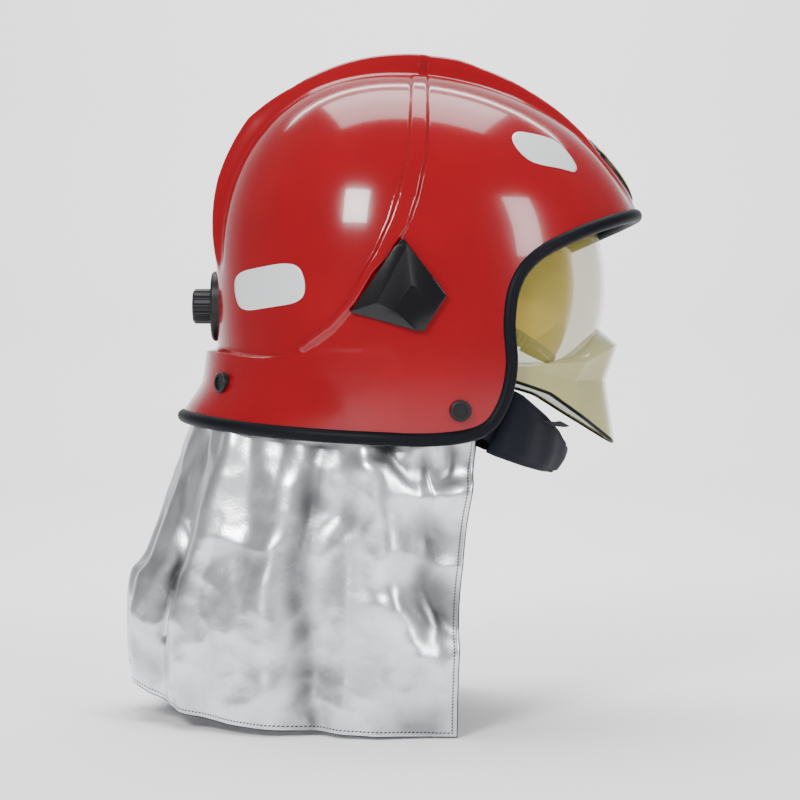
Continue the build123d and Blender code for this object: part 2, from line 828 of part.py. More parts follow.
def make_cheek_pad():
    middle_x = (cheek_front + cheek_rear) / 2
    middle_z = (cheek_top + cheek_bottom) / 2
    depth = shell_half_width
    block = Box(cheek_front - cheek_rear, depth, cheek_top - cheek_bottom)
    block = fillet(block.edges().filter_by(Axis.Y), cheek_round)
    block = fillet(block.faces().sort_by(Axis.Y)[0].edges(), cheek_round * 0.6)
    block = Pos(middle_x, cheek_inner + depth / 2, middle_z) * block
    return block & dome(shell_wall + small_gap)


def make_lug(side):
    """The strap's end plate and the nut that it turns on."""
    outer = side * (strap_side + small_gap)
    place = Pos(side_screw_x, outer + side * lug_thickness / 2, side_screw_z)
    return place * cross_bar(lug_radius, lug_thickness) - side_screw_bore(screw_radius + shaft_gap)


def side_screw_bore(radius):
    return Pos(side_screw_x, 0, side_screw_z) * cross_bar(radius, 2 * overrun)


def make_side_screw(side):
    """From under the cap through the shell, the strap and its lug, with the head inside."""
    inner = strap_side - strap_thickness - screw_head_gap
    outer = abs(side_y(side_screw_x, side_screw_z)) + cap_height / 2
    shank = Pos(side_screw_x, side * (inner + outer) / 2, side_screw_z)
    shank *= cross_bar(screw_radius, outer - inner)
    head = Pos(side_screw_x, side * (inner - nut_thickness / 2), side_screw_z)
    head *= cross_bar(nut_radius, nut_thickness)
    spacer_in = strap_side + small_gap + lug_thickness + face_gap
    spacer_out = side_y(side_screw_x, side_screw_z, shell_wall) - small_gap
    spacer = Pos(side_screw_x, side * (spacer_in + spacer_out) / 2, side_screw_z)
    return shank + head + spacer * cross_bar(nut_radius, spacer_out - spacer_in)


def make_rear_screw(side):
    shank = Pos(0, 0, -nut_thickness) * Cylinder(screw_radius, 2 * nut_thickness + cap_height)
    nut = Pos(0, 0, -shell_wall - small_gap - nut_thickness / 2) * Cylinder(nut_radius, nut_thickness)
    return rear_screw_place(side) * (shank + nut)


def buckle_place():
    """On the left strap, X along it, Y through its thickness, Z across its width."""
    angle = radians(buckle_angle)
    x = (strap_reach - buckle_thickness / 2) * cos(angle)
    y = (strap_side - buckle_thickness / 2) * sin(angle)
    heading = degrees(atan2(-strap_side * cos(angle), strap_reach * sin(angle)))
    return harness_plane.location * Pos(x, y, 0) * Rot(0, 0, heading)


def make_buckle():
    """The female half, the male half and the male half's two prongs, pressed at the sides."""
    wall = buckle_thickness / 4
    female_length = buckle_length * 0.6
    male_length = buckle_length - female_length - face_gap
    body = Box(female_length, buckle_thickness, buckle_width)
    female = fillet(body.edges().filter_by(Axis.Z), wall / 2)
    cavity_length = female_length - wall
    tongue_gap = buckle_thickness - 2 * wall
    cavity = Box(cavity_length, tongue_gap, buckle_width - 2 * wall)
    female -= Pos((cavity_length - female_length) / 2, 0, 0) * cavity
    window = Box(female_length / 2, tongue_gap, buckle_width + 2 * wall)
    female -= window
    female_x = buckle_length / 2 - female_length / 2
    male_x = male_length / 2 - buckle_length / 2
    male = Box(male_length, buckle_thickness, buckle_width)
    male = Pos(male_x, 0, 0) * fillet(male.edges().filter_by(Axis.Z), wall / 2)
    tongue_thickness = tongue_gap - 2 * small_gap
    tongue_length = cavity_length - small_gap
    tongue_width = buckle_width / 4
    tongue_x = male_x + male_length / 2 + tongue_length / 2
    male += Pos(tongue_x, 0, 0) * Box(tongue_length, tongue_thickness, tongue_width)
    prongs = []
    prong_width = tongue_width / 1.6
    for side in (1, -1):
        z = side * (buckle_width / 2 - wall - small_gap - prong_width / 2)
        arm_length = female_length * 0.7
        arm = Pos(male_x + male_length / 2 + face_gap + arm_length / 2, 0, z)
        prong = arm * Box(arm_length, tongue_thickness, prong_width)
        pad = Box(female_length / 2 - 2 * small_gap, tongue_thickness, wall + small_gap)
        prong += Pos(female_x, 0, side * (buckle_width / 2 - wall / 2 - small_gap / 2)) * pad
        prongs.append(prong)
    place = buckle_place()
    return [place * Pos(female_x, 0, 0) * female, place * male, place * prongs[0], place * prongs[1]]


if __name__ == "__main__":
    os.makedirs("parts", exist_ok=True)
    shell = make_shell()
    write("outer_shell", shell)
    trim = make_trim() - shell
    write("edge_trim", trim)
    write("badge_plate", make_badge(shell))
    for name, shares in (("front", front_patch_shares), ("rear", rear_patch_shares)):
        patch = make_patch(shares, shell)
        write("reflective_patch_" + name + "_left", patch)
        write("reflective_patch_" + name + "_right", outer_part(mirrored(patch) - shell))
    cover = make_cover() - shell
    write("side_cover_left", cover)
    write("side_cover_right", mirrored(cover))

    write("impact_liner", make_liner())
    write("headband", make_headband())
    write("brow_pad", make_brow_pad())
    write("crown_cradle", make_cradle())
    write("crown_pad", make_crown_pad())
    cheek = make_cheek_pad()
    write("cheek_pad_left", cheek)
    write("cheek_pad_right", mirrored(cheek))

    write("face_shield", make_face_shield())
    write("eye_shield", make_eye_shield())
    write("nose_seal", make_nose_seal())
    face_hub = make_hub(
        face_hub_radius, face_boss_radius, face_hub_in, face_side - face_thickness, face_boss_out)
    eye_hub = make_hub(eye_hub_radius, eye_boss_radius, eye_hub_in, eye_side - eye_thickness, eye_boss_out)
    pin = make_pivot_pin()
    inner_spacer, outer_spacer = make_spacers()
    for name, piece in (
        ("face_shield_hub", face_hub), ("eye_shield_hub", eye_hub), ("pivot_pin", pin),
        ("inner_spacer", inner_spacer), ("outer_spacer", outer_spacer),
    ):
        write(name + "_left", piece)
        write(name + "_right", mirrored(piece))

    write("ratchet_back_plate", make_back_plate())
    write("ratchet_housing", make_housing())
    write("ratchet_knob", make_knob())
    write("ratchet_pinion", make_pinion())
    write("rack_tongue_left", make_rack(1))
    write("rack_tongue_right", make_rack(-1))
    write("nape_pad", make_nape_pad())

    side_screws = [make_side_screw(side) - shell for side in (1, -1)]
    rear_screws = [make_rear_screw(side) - shell for side in (1, -1)]
    side_caps = [outer_part(side_screw_place(side) * make_cap() - shell - side_screws[0] - side_screws[1])
                 for side in (1, -1)]
    rear_caps = [outer_part(rear_screw_place(side) * make_cap() - shell - rear_screws[0] - rear_screws[1])
                 for side in (1, -1)]
    write("side_screw_caps", Compound(children=side_caps))
    write("rear_screw_caps", Compound(children=rear_caps))
    write("side_screws", Compound(children=side_screws))
    write("rear_screws", Compound(children=rear_screws))

    write("chin_cup", make_cup())
    buckle = make_buckle()
    buckle_names = ("buckle_female", "buckle_male", "buckle_prong_upper", "buckle_prong_lower")
    for name, piece in zip(buckle_names, buckle):
        write(name, piece)
    room = buckle_place() * Box(buckle_length + small_gap, buckle_thickness * 2, buckle_width * 2)
    for piece in make_straps():
        side = "left" if piece.center().Y > 0 else "right"
        write("chin_strap_" + side, piece - side_screw_bore(screw_radius + shaft_gap) - room)
    write("strap_lug_left", make_lug(1))
    write("strap_lug_right", make_lug(-1))

    write("neck_curtain", make_curtain())
    write("curtain_band", make_curtain_band())
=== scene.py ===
import bmesh
import bpy
from math import cos, pi, radians, sin
from mathutils import Matrix, Vector, noise
import numpy as np


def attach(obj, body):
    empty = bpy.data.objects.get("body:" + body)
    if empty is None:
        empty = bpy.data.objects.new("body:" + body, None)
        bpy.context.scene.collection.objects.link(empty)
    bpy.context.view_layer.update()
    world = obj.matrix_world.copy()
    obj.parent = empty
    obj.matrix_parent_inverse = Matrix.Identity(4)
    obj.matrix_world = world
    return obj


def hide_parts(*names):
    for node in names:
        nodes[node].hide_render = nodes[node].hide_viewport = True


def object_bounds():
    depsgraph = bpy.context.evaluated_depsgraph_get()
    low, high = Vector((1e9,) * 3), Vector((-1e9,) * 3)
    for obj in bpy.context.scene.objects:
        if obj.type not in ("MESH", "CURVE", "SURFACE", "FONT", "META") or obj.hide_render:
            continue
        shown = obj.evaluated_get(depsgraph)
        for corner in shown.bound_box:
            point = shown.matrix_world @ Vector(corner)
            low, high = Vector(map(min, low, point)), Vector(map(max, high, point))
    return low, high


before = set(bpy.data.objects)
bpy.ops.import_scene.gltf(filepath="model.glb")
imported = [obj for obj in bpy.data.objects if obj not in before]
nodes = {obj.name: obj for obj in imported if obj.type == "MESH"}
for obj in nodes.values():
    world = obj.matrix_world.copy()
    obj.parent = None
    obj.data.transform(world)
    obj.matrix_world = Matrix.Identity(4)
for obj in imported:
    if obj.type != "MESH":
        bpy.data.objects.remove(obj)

cad_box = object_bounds()

# The outer shell: one moulded composite dome with a raised centre crest, an S-shaped rib on each
# side and a flared collar behind. It starts as a sphere whose poles lie at the sides, so that its
# rings run along the crest, and each ring point is carried out to the moulded surface.
shell_front = 0.163
shell_rear = 0.133
shell_half_width = 0.122
shell_crown = 0.134
shell_wall = 0.0035
widest_x = -0.010
skirt_depth = 0.127
skirt_draw = 0.05
front_fullness = 2.0
rear_fullness = 2.3
side_fullness = 2.2
collar_top = -0.050
collar_flare_start = -0.076
collar_flare_end = -0.095
collar_step = 0.006
collar_flare = 0.019
collar_tuck = 0.0015
crest_half_width = 0.030
rib_height = 0.0026
knob_flat_x = -0.1275
knob_flat_z = -0.025
knob_flat_squash = 0.72
knob_flat_inner = 0.019
knob_flat_outer = 0.031


def ease(value, low, high):
    share = np.clip((value - low) / (high - low), 0, 1)
    return share * share * (3 - 2 * share)


def scale_at(z, fullness, crown=shell_crown):
    above = np.clip(z / crown, 0, 0.99999)
    dome = (1 - above ** fullness) ** (1 / fullness)
    return np.where(z > 0, dome, 1 - skirt_draw * (np.minimum(z, 0) / skirt_depth) ** 2)


def dome_sides(z, x, inset=0.0):
    """Half length on the side where x lies, and half width, of the level section at z."""
    crown = shell_crown - inset
    front = (shell_front - inset - widest_x) * scale_at(z, front_fullness, crown)
    rear = (shell_rear - inset + widest_x) * scale_at(z, rear_fullness, crown)
    return np.where(x > widest_x, front, rear), (shell_half_width - inset) * scale_at(z, side_fullness, crown)


def reach_out(start, heading, form):
    """Carries points from inside an egg-shaped form straight out to its surface."""
    crown, front, rear, half_width = form
    near = np.full(len(heading), 0.001)
    far = np.full(len(heading), 0.30)
    for _ in range(34):
        reach = (near + far) / 2
        place = start + heading * reach[:, None]
        side = place[:, 0] > widest_x
        length = np.where(side, (front - widest_x) * scale_at(place[:, 2], front_fullness, crown),
                          (rear + widest_x) * scale_at(place[:, 2], rear_fullness, crown))
        width = half_width * scale_at(place[:, 2], side_fullness, crown)
        outside = ((place[:, 0] - widest_x) / length) ** 2 + (place[:, 1] / width) ** 2 > 1
        outside |= place[:, 2] > crown * 0.9999
        far = np.where(outside, reach, far)
        near = np.where(outside, near, reach)
    return start + heading * near[:, None]


def on_dome(turned, inset=0.0):
    """Carries unit directions from the middle of the widest line out to the dome."""
    form = (shell_crown - inset, shell_front - inset, shell_rear - inset, shell_half_width - inset)
    return reach_out(np.array([widest_x, 0, 0]), turned, form)


# The crest's side outline, as turn in degrees about the widest line and reach in metres.
crest_outline = [
    (14, 0.1705), (16.4, 0.1686), (21.8, 0.1634), (28.5, 0.1592), (35.3, 0.1575), (38.2, 0.1563),
    (53.1, 0.1511), (66.6, 0.1483), (73.1, 0.1484), (81.0, 0.1466), (91.7, 0.1450), (103.8, 0.1436),
    (119.5, 0.1414),
    (134.4, 0.1427), (154.0, 0.1350), (167.4, 0.1279), (176.6, 0.1231), (184.6, 0.1206),
]
rib_line = [
    (0.006, 0.130, 0.0050), (0.005, 0.086, 0.0058), (0.004, 0.064, 0.0055), (-0.0015, 0.041, 0.0062),
    (-0.0075, 0.022, 0.0060), (-0.018, 0.002, 0.0045), (-0.026, -0.0085, 0.0030),
    (-0.036, -0.027, 0.0026), (-0.050, -0.043, 0.0024), (-0.068, -0.056, 0.0022),
]


def collar_reach(z):
    upper = shell_rear + collar_step + (collar_top - z) / 8
    depth = np.maximum((collar_flare_start - z) / (collar_flare_start - collar_flare_end), 0)
    depth = -np.log(np.exp(-6 * depth) + np.exp(-7.0)) / 6 + 0.00016
    base = shell_rear + collar_step + (collar_top - collar_flare_start) / 8
    lower = base + (collar_flare - collar_step) * np.maximum(depth, 0) ** 1.15
    return np.where(z > collar_flare_start, upper, lower)


def collar_ledge(x):
    """Height of the collar's upper ledge, which dips towards the rib's foot."""
    return -0.0535 - 0.0075 * ease(x, -0.140, -0.092) + 0.0035 * ease(x, -0.088, -0.060)


def off_segment(x, z, start, end):
    """Distance in side view from a straight piece of a line, and how far along it the place is."""
    step = np.array(end) - np.array(start)
    share = np.clip(((x - start[0]) * step[0] + (z - start[1]) * step[1]) / (step @ step), 0, 1)
    return np.hypot(x - start[0] - share * step[0], z - start[1] - share * step[1]), share


def rib_distance(place):
    nearest = np.full(len(place), 1.0)
    for (x0, z0, w0), (x1, z1, w1) in zip(rib_line, rib_line[1:]):
        off, share = off_segment(place[:, 0], place[:, 2], (x0, z0), (x1, z1))
        nearest = np.minimum(nearest, off - (w0 + (w1 - w0) * share))
    return nearest


def around_knob(place):
    """Distance from the middle of the knob's flat, which is wider than it is high."""
    return np.hypot(place[:, 1] * knob_flat_squash, place[:, 2] - knob_flat_z)


def moulded(place, inset=0.0):
    """Adds the collar, the rib, the crest and the knob's flat to points on the dome."""
    place = place.copy()
    x, y, z = place[:, 0] - widest_x, place[:, 1], place[:, 2]
    length, width = dome_sides(z, place[:, 0], inset)
    collar_length = collar_reach(z) - inset + widest_x
    collar_width = width - collar_tuck
    flat = np.hypot(x, y) + 1e-9
    dome_flat = 1 / np.hypot(x / flat / length, y / flat / width)
    collar_flat = 1 / np.hypot(x / flat / collar_length, y / flat / collar_width)
    ratio = collar_flat / dome_flat
    grow = (ratio + 1 + np.sqrt((ratio - 1) ** 2 + 0.000004)) / 2 - 0.001
    ledge = ease(collar_ledge(place[:, 0]) - z, -0.0006, 0.0022)
    behind = np.where(x < 0, 1, 0)
    grow = 1 + (grow - 1) * ledge * behind
    place[:, 0] = widest_x + x * grow
    place[:, 1] = y * grow

    normal = np.stack([x / length ** 2, y / width ** 2, np.maximum(z, 0) / shell_crown ** 2], 1)
    normal /= np.linalg.norm(normal, axis=1)[:, None]
    beside = ease(np.abs(place[:, 1]), 0.032, 0.056)
    raise_rib = rib_height * (1 - ease(rib_distance(place), -0.0012, 0.0010)) * beside
    place += normal * raise_rib[:, None]

    x, y, z = place[:, 0] - widest_x, place[:, 1], place[:, 2]
    turn = np.degrees(np.arctan2(z, x)) % 360
    reach = np.hypot(x, z)
    turns, reaches = zip(*crest_outline)
    outline = np.interp(turn, turns, reaches) - inset - 1.6 * y ** 2
    forward = 1 - ease(turn, 80, 84)
    half = crest_half_width + 0.002 - 0.006 * forward
    across = 1 - ease(np.abs(y), half - 0.0045, half + 0.0015)
    along = ease(turn, 12, 26) * (1 - ease(turn, 176, 183))
    top = np.maximum(outline - reach, 0) * across * along
    hollow = (0.0018 + 0.0008 * forward) * along * np.exp(-((np.abs(y) - half - 0.0055) / 0.0045) ** 2)
    change = (reach + top - hollow) / reach
    place[:, 0] = widest_x + x * change
    place[:, 2] = z * change

    around = around_knob(place)
    scoop = knob_flat_x - 0.012 * ease(around, knob_flat_inner, knob_flat_outer)
    seat = (place[:, 0] < -0.10) & (around < knob_flat_outer)
    place[:, 0] = np.where(seat, np.maximum(place[:, 0], scoop + inset), place[:, 0])
    return place


rim_shares = [
    (-1.03, -0.722), (-0.87, -0.765), (-0.65, -0.803), (-0.43, -0.827), (-0.18, -0.845),
    (0.09, -0.853), (0.275, -0.812), (0.355, -0.69), (0.389, -0.51), (0.38, -0.30),
    (0.404, -0.12), (0.485, 0.015), (0.645, 0.125), (0.82, 0.213), (1.05, 0.318),
]
rim_points = [(shell_front * x, shell_crown * z) for x, z in rim_shares]


def smooth_line(points, steps):
    """A curve through given points, the same one that the solid's edge follows."""
    line = []
    padded_points = [points[0]] + list(points) + [points[-1]]
    for a, b, c, d in zip(padded_points, padded_points[1:], padded_points[2:], padded_points[3:]):
        for step in range(steps):
            t = step / steps
            line.append(tuple(
                0.5 * (2 * q + (r - p) * t + (2 * p - 5 * q + 4 * r - s) * t * t
                       + (3 * q - p - 3 * r + s) * t ** 3)
                for p, q, r, s in zip(a, b, c, d)))
    return line + [points[-1]]


rim_side_view = smooth_line(rim_points, 24)


def below_rim(x, z):
    """True where a place in side view lies outside the shell's edge."""
    ring = rim_side_view + [(0.4, -0.4), (-0.4, -0.4)]
    inside = np.zeros(len(x), bool)
    for (x0, z0), (x1, z1) in zip(ring, ring[1:] + ring[:1]):
        crossing = (z0 > z) != (z1 > z)
        with np.errstate(divide="ignore", invalid="ignore"):
            at = x0 + (z - z0) * (x1 - x0) / (z1 - z0)
        inside ^= crossing & (x < at)
    return inside


def side_y(x, z, inset=0.0):
    """The dome's half width at a place in side view."""
    length, width = dome_sides(np.array([z]), np.array([x]), inset)
    return width[0] * max(1 - ((x - widest_x) / length[0]) ** 2, 0) ** 0.5


def rim_half_width(x, z, inset=0.0):
    """The shell's half width at a place in side view, with its collar."""
    if x >= widest_x:
        return side_y(x, z, inset)
    width = dome_sides(np.array([z]), np.array([x]), inset)[1][0]
    collar = (collar_reach(np.array([z])) - inset + widest_x)[0]
    inner = 1 - ((x - widest_x) / collar) ** 2
    return max((width - collar_tuck) * max(inner, 0) ** 0.5, side_y(x, z, inset))


def coordinates(mesh):
    values = np.empty(len(mesh.vertices) * 3)
    mesh.vertices.foreach_get("co", values)
    return values.reshape(-1, 3)


def new_piece(name, bm, material):
    mesh = bpy.data.meshes.new(name)
    bm.to_mesh(mesh)
    bm.free()
    mesh.shade_smooth()
    piece = bpy.data.objects.new(name, mesh)
    bpy.context.scene.collection.objects.link(piece)
    piece.data.materials.append(material)
    return piece


def place_all(bm, places):
    for vert, place in zip(bm.verts, places):
        vert.co = place


def vert_places(bm):
    return np.array([vert.co[:] for vert in bm.verts])


def directions(bm):
    turned = vert_places(bm)
    return turned / np.linalg.norm(turned, axis=1)[:, None]


shell_bm = bmesh.new()
bmesh.ops.create_uvsphere(shell_bm, u_segments=176, v_segments=120, radius=1)
bmesh.ops.rotate(shell_bm, verts=shell_bm.verts, matrix=Matrix.Rotation(pi / 2, 3, "X"))
for _ in range(2):
    places = on_dome(directions(shell_bm))
    shell_bm.verts.index_update()
    ends = np.array([[edge.verts[0].index, edge.verts[1].index] for edge in shell_bm.edges])
    length = np.linalg.norm(places[ends[:, 0]] - places[ends[:, 1]], axis=1)
    middle = (places[ends[:, 0]] + places[ends[:, 1]]) / 2
    near_rib = (np.abs(rib_distance(middle)) < 0.004) & (np.abs(middle[:, 1]) > 0.030)
    near_ledge = (np.abs(collar_ledge(middle[:, 0]) - middle[:, 2]) < 0.005) & (middle[:, 0] < -0.03)
    near_crest = (np.abs(np.abs(middle[:, 1]) - crest_half_width + 0.003) < 0.008) & (middle[:, 2] > -0.01)
    near_flat = (np.abs(around_knob(middle) - 0.025) < 0.009) & (middle[:, 0] < -0.1)
    chosen = (near_rib | near_ledge | near_flat | near_crest) & (length > 0.0014)
    chosen &= ~below_rim(middle[:, 0], middle[:, 2])
    picked = [edge for edge, wanted in zip(shell_bm.edges, chosen) if wanted]
    bmesh.ops.subdivide_edges(shell_bm, edges=picked, cuts=1, use_grid_fill=True)
places = moulded(on_dome(directions(shell_bm)))
place_all(shell_bm, places)
centres = np.array([face.calc_center_median()[:] for face in shell_bm.faces])
outside = below_rim(centres[:, 0], centres[:, 2])
cut_away = [face for face, gone in zip(shell_bm.faces, outside) if gone]
bmesh.ops.delete(shell_bm, geom=cut_away, context="FACES")
bmesh.ops.recalc_face_normals(shell_bm, faces=shell_bm.faces)
cut_verts = {vert for edge in shell_bm.edges if len(edge.link_faces) == 1 for vert in edge.verts}
rim_x, rim_z = np.array(rim_side_view).T
for vert in cut_verts:
    nearest = np.argmin(np.hypot(rim_x - vert.co.x, rim_z - vert.co.z))
    x, z = rim_side_view[nearest]
    reach = rim_half_width(x, z)
    if reach > 0.004:
        vert.co = (x, reach if vert.co.y > 0 else -reach, z)
for edge in shell_bm.edges:
    edge.smooth = len(edge.link_faces) == 2


def paint(name, color, rough, metallic=0.0, coat=0.0, specular=0.5):
    """A material with its shader, which the section that needs it finishes."""
    material = bpy.data.materials.new(name)
    material.use_nodes = True
    shader = material.node_tree.nodes["Principled BSDF"]
    shader.inputs["Base Color"].default_value = (*color, 1)
    shader.inputs["Roughness"].default_value = rough
    shader.inputs["Metallic"].default_value = metallic
    shader.inputs["Coat Weight"].default_value = coat
    shader.inputs["Specular IOR Level"].default_value = specular
    return material, shader


def add_node(material, kind, **values):
    node = material.node_tree.nodes.new("ShaderNode" + kind)
    for key, value in values.items():
        if key in node.inputs:
            node.inputs[key].default_value = value
        else:
            setattr(node, key, value)
    return node


def link(start, end):
    start.id_data.links.new(start, end)


def span(material, share, low, high):
    """A number that goes from one limit to another with a share."""
    spread = add_node(material, "MapRange")
    spread.inputs["To Min"].default_value = low
    spread.inputs["To Max"].default_value = high
    link(share, spread.inputs["Value"])
    return spread.outputs["Result"]


def two_tones(material, share, first, second, low=0.0, high=1.0):
    """A colour that goes from one tone to another with a share."""
    ramp = add_node(material, "ValToRGB")
    for stop, position, tone in zip(ramp.color_ramp.elements, (low, high), (first, second)):
        stop.position = position
        stop.color = (*tone, 1)
    link(share, ramp.inputs["Fac"])
    return ramp.outputs["Color"]


def emboss(material, shader, height, strength, distance, invert=False):
    raised = add_node(material, "Bump", Strength=strength, Distance=distance, invert=invert)
    link(height, raised.inputs["Height"])
    link(raised.outputs["Normal"], shader.inputs["Normal"])


def grain(material, shader, scale, low, high, bump=0.0, distance=0.001, detail=3.0):
    """Uneven gloss, and a bump of the same grain, from noise on object coordinates."""
    where = add_node(material, "TexCoord")
    spots = add_node(material, "TexNoise", Scale=scale, Detail=detail)
    link(where.outputs["Object"], spots.inputs["Vector"])
    link(span(material, spots.outputs["Fac"], low, high), shader.inputs["Roughness"])
    if bump:
        emboss(material, shader, spots.outputs["Fac"], bump, distance)


def mottle(material, shader, light, dark, scale):
    """Slow change of colour between two shades of the same finish."""
    where = add_node(material, "TexCoord")
    clouds = add_node(material, "TexNoise", Scale=scale, Detail=4.0)
    link(where.outputs["Object"], clouds.inputs["Vector"])
    link(two_tones(material, clouds.outputs["Fac"], dark, light, 0.35, 0.65), shader.inputs["Base Color"])


def cellular(material, shader, scale, first, second, bump, distance, invert=False, randomness=1.0):
    """Small cells, such as beads or corner cubes, in two tones and raised."""
    where = add_node(material, "TexCoord")
    cells = add_node(material, "TexVoronoi", Scale=scale, Randomness=randomness)
    link(where.outputs["Object"], cells.inputs["Vector"])
    link(two_tones(material, cells.outputs["Distance"], first, second), shader.inputs["Base Color"])
    emboss(material, shader, cells.outputs["Distance"], bump, distance, invert)


red_gloss, red_shader = paint("red gloss shell", (0.22, 0.0008, 0.0048), 0.16, coat=0.35, specular=0.3)
red_shader.inputs["Coat Roughness"].default_value = 0.035
mottle(red_gloss, red_shader, (0.235, 0.0009, 0.0052), (0.205, 0.0007, 0.0044), 14)
grain(red_gloss, red_shader, 900, 0.12, 0.22, bump=0.02, distance=0.0002)
shell = new_piece("moulded_shell", shell_bm, red_gloss)
wall = shell.modifiers.new("wall", "SOLIDIFY")
wall.thickness = shell_wall
wall.offset = -1
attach(shell, "helmet")
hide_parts("outer_shell")

# The edge trim: an extruded rubber channel pushed over the shell's cut edge, all the way round the
# brim, the face opening and the lower edge. It is one closed tube of soft matt rubber.
trim_radius = 0.0046


def rim_path(inset, spacing):
    """The shell's edge in space, from the middle of the rear round the left side to the brim."""
    line = []
    for (x0, z0), (x1, z1) in zip(rim_side_view, rim_side_view[1:]):
        for step in range(12):
            share = step / 12
            x = x0 + (x1 - x0) * share
            z = z0 + (z1 - z0) * share
            y = rim_half_width(x, z, inset)
            if y > 0:
                line.append(Vector((x, y, z)))
    first = Vector((line[0].x - 0.0002, 0, line[0].z))
    last = Vector((line[-1].x + 0.0004, 0, line[-1].z))
    line = [first] + line + [last]
    even = [line[0]]
    for point in line[1:-1]:
        if (point - even[-1]).length > spacing:
            even.append(point)
    return even + [line[-1]]


left_rim = rim_path(shell_wall / 2, 0.005)
loop = left_rim + [Vector((p.x, -p.y, p.z)) for p in left_rim[-2:0:-1]]
edge_rubber, rubber_shader = paint("black edge rubber", (0.0035, 0.0042, 0.0065), 0.5, specular=0.09)
grain(edge_rubber, rubber_shader, 700, 0.42, 0.58, bump=0.12, distance=0.0002)


def rubber_tube(name, places, radius, fineness, closed):
    """A round rubber section drawn along a smooth line."""
    curve = bpy.data.curves.new(name, "CURVE")
    curve.dimensions = "3D"
    curve.bevel_depth = radius
    curve.bevel_resolution = fineness
    curve.use_fill_caps = not closed
    strip = curve.splines.new("NURBS")
    strip.points.add(len(places) - 1)
    for point, place in zip(strip.points, places):
        point.co = (*place, 1)
    strip.use_cyclic_u = closed
    strip.use_endpoint_u = not closed
    strip.order_u = 3
    curve.materials.append(edge_rubber)
    tube = bpy.data.objects.new(name, curve)
    bpy.context.scene.collection.objects.link(tube)
    return tube


edge_channel = rubber_tube("edge_channel", loop, trim_radius, 5, closed=True)
edge_channel.data.splines[0].resolution_u = 3
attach(edge_channel, "helmet")
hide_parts("edge_trim")

# The small moulded parts: satin black nylon with a fine spark-eroded texture. They are the solids
# themselves: hubs, screw caps, the ratchet with its knob, the buckle and the headband.
def finish(material, *names):
    for name in names:
        for held in nodes[name].material_slots:
            held.material = material


black_nylon, nylon_shader = paint("black moulded nylon", (0.007, 0.0072, 0.009), 0.4, specular=0.3)
grain(black_nylon, nylon_shader, 1500, 0.34, 0.50, bump=0.10, distance=0.0001)
finish(
    black_nylon, "side_screw_caps", "rear_screw_caps", "ratchet_back_plate", "ratchet_housing",
    "ratchet_knob", "ratchet_pinion", "buckle_female", "buckle_male", "buckle_prong_upper",
    "buckle_prong_lower", "headband", "nose_seal")
for pair in ("rack_tongue", "face_shield_hub", "eye_shield_hub", "inner_spacer", "outer_spacer"):
    finish(black_nylon, pair + "_left", pair + "_right")

# Turned and zinc plated steel: the visor pins, the harness screws and the lugs they clamp.
bright_steel, steel_shader = paint("zinc plated steel", (0.56, 0.57, 0.58), 0.3, metallic=1.0)
grain(bright_steel, steel_shader, 900, 0.22, 0.42, bump=0.08, distance=0.0001)
finish(bright_steel, "pivot_pin_left", "pivot_pin_right", "side_screws", "rear_screws", "strap_lug_left",
       "strap_lug_right")

# The impact liner: a moulded block of dark polystyrene beads that takes the blow. It is pressed into
# the shell, with the two visors' parking space cut in its front.
bead_foam, foam_shader = paint("dark bead foam", (0.045, 0.045, 0.05), 0.8)
cellular(bead_foam, foam_shader, 260, (0.060, 0.060, 0.066), (0.020, 0.020, 0.024), 0.5, 0.0006,
         invert=True)
finish(bead_foam, "impact_liner")

# The side covers: glossy black mouldings, one over each visor pivot. A raised kite-shaped frame
# stands round a sunk pocket whose floor is two slanting facets.
gloss_black, gloss_shader = paint("gloss black moulding", (0.004, 0.004, 0.005), 0.16, specular=0.35)
grain(gloss_black, gloss_shader, 1200, 0.12, 0.26, bump=0.03, distance=0.0001)
kite = {
    "top": (-0.0050, 0.0119, 0.0052), "right": (0.0225, -0.0238, 0.0050),
    "low right": (0.0081, -0.0463, 0.0046), "low left": (0.0037, -0.0463, 0.0046),
    "left": (-0.0382, -0.0344, 0.0044), "shoulder": (-0.0107, 0.0057, 0.0062),
    "ridge top": (-0.0026, 0.0070, 0.0062), "ridge left": (-0.0219, -0.0294, 0.0060),
    "floor top": (0.0006, -0.0178, 0.0016), "floor left": (-0.0094, -0.0332, 0.0034),
    "floor right": (0.0069, -0.0230, 0.0030),
}
kite_faces = [
    ("shoulder", "ridge top", "ridge left", "left"), ("top", "ridge top", "shoulder"),
    ("ridge top", "floor top", "floor left", "ridge left"),
    ("top", "right", "floor right", "floor top", "ridge top"),
    ("floor top", "floor right", "right", "low right", "low left", "floor left"),
    ("left", "ridge left", "floor left", "low left"),
]


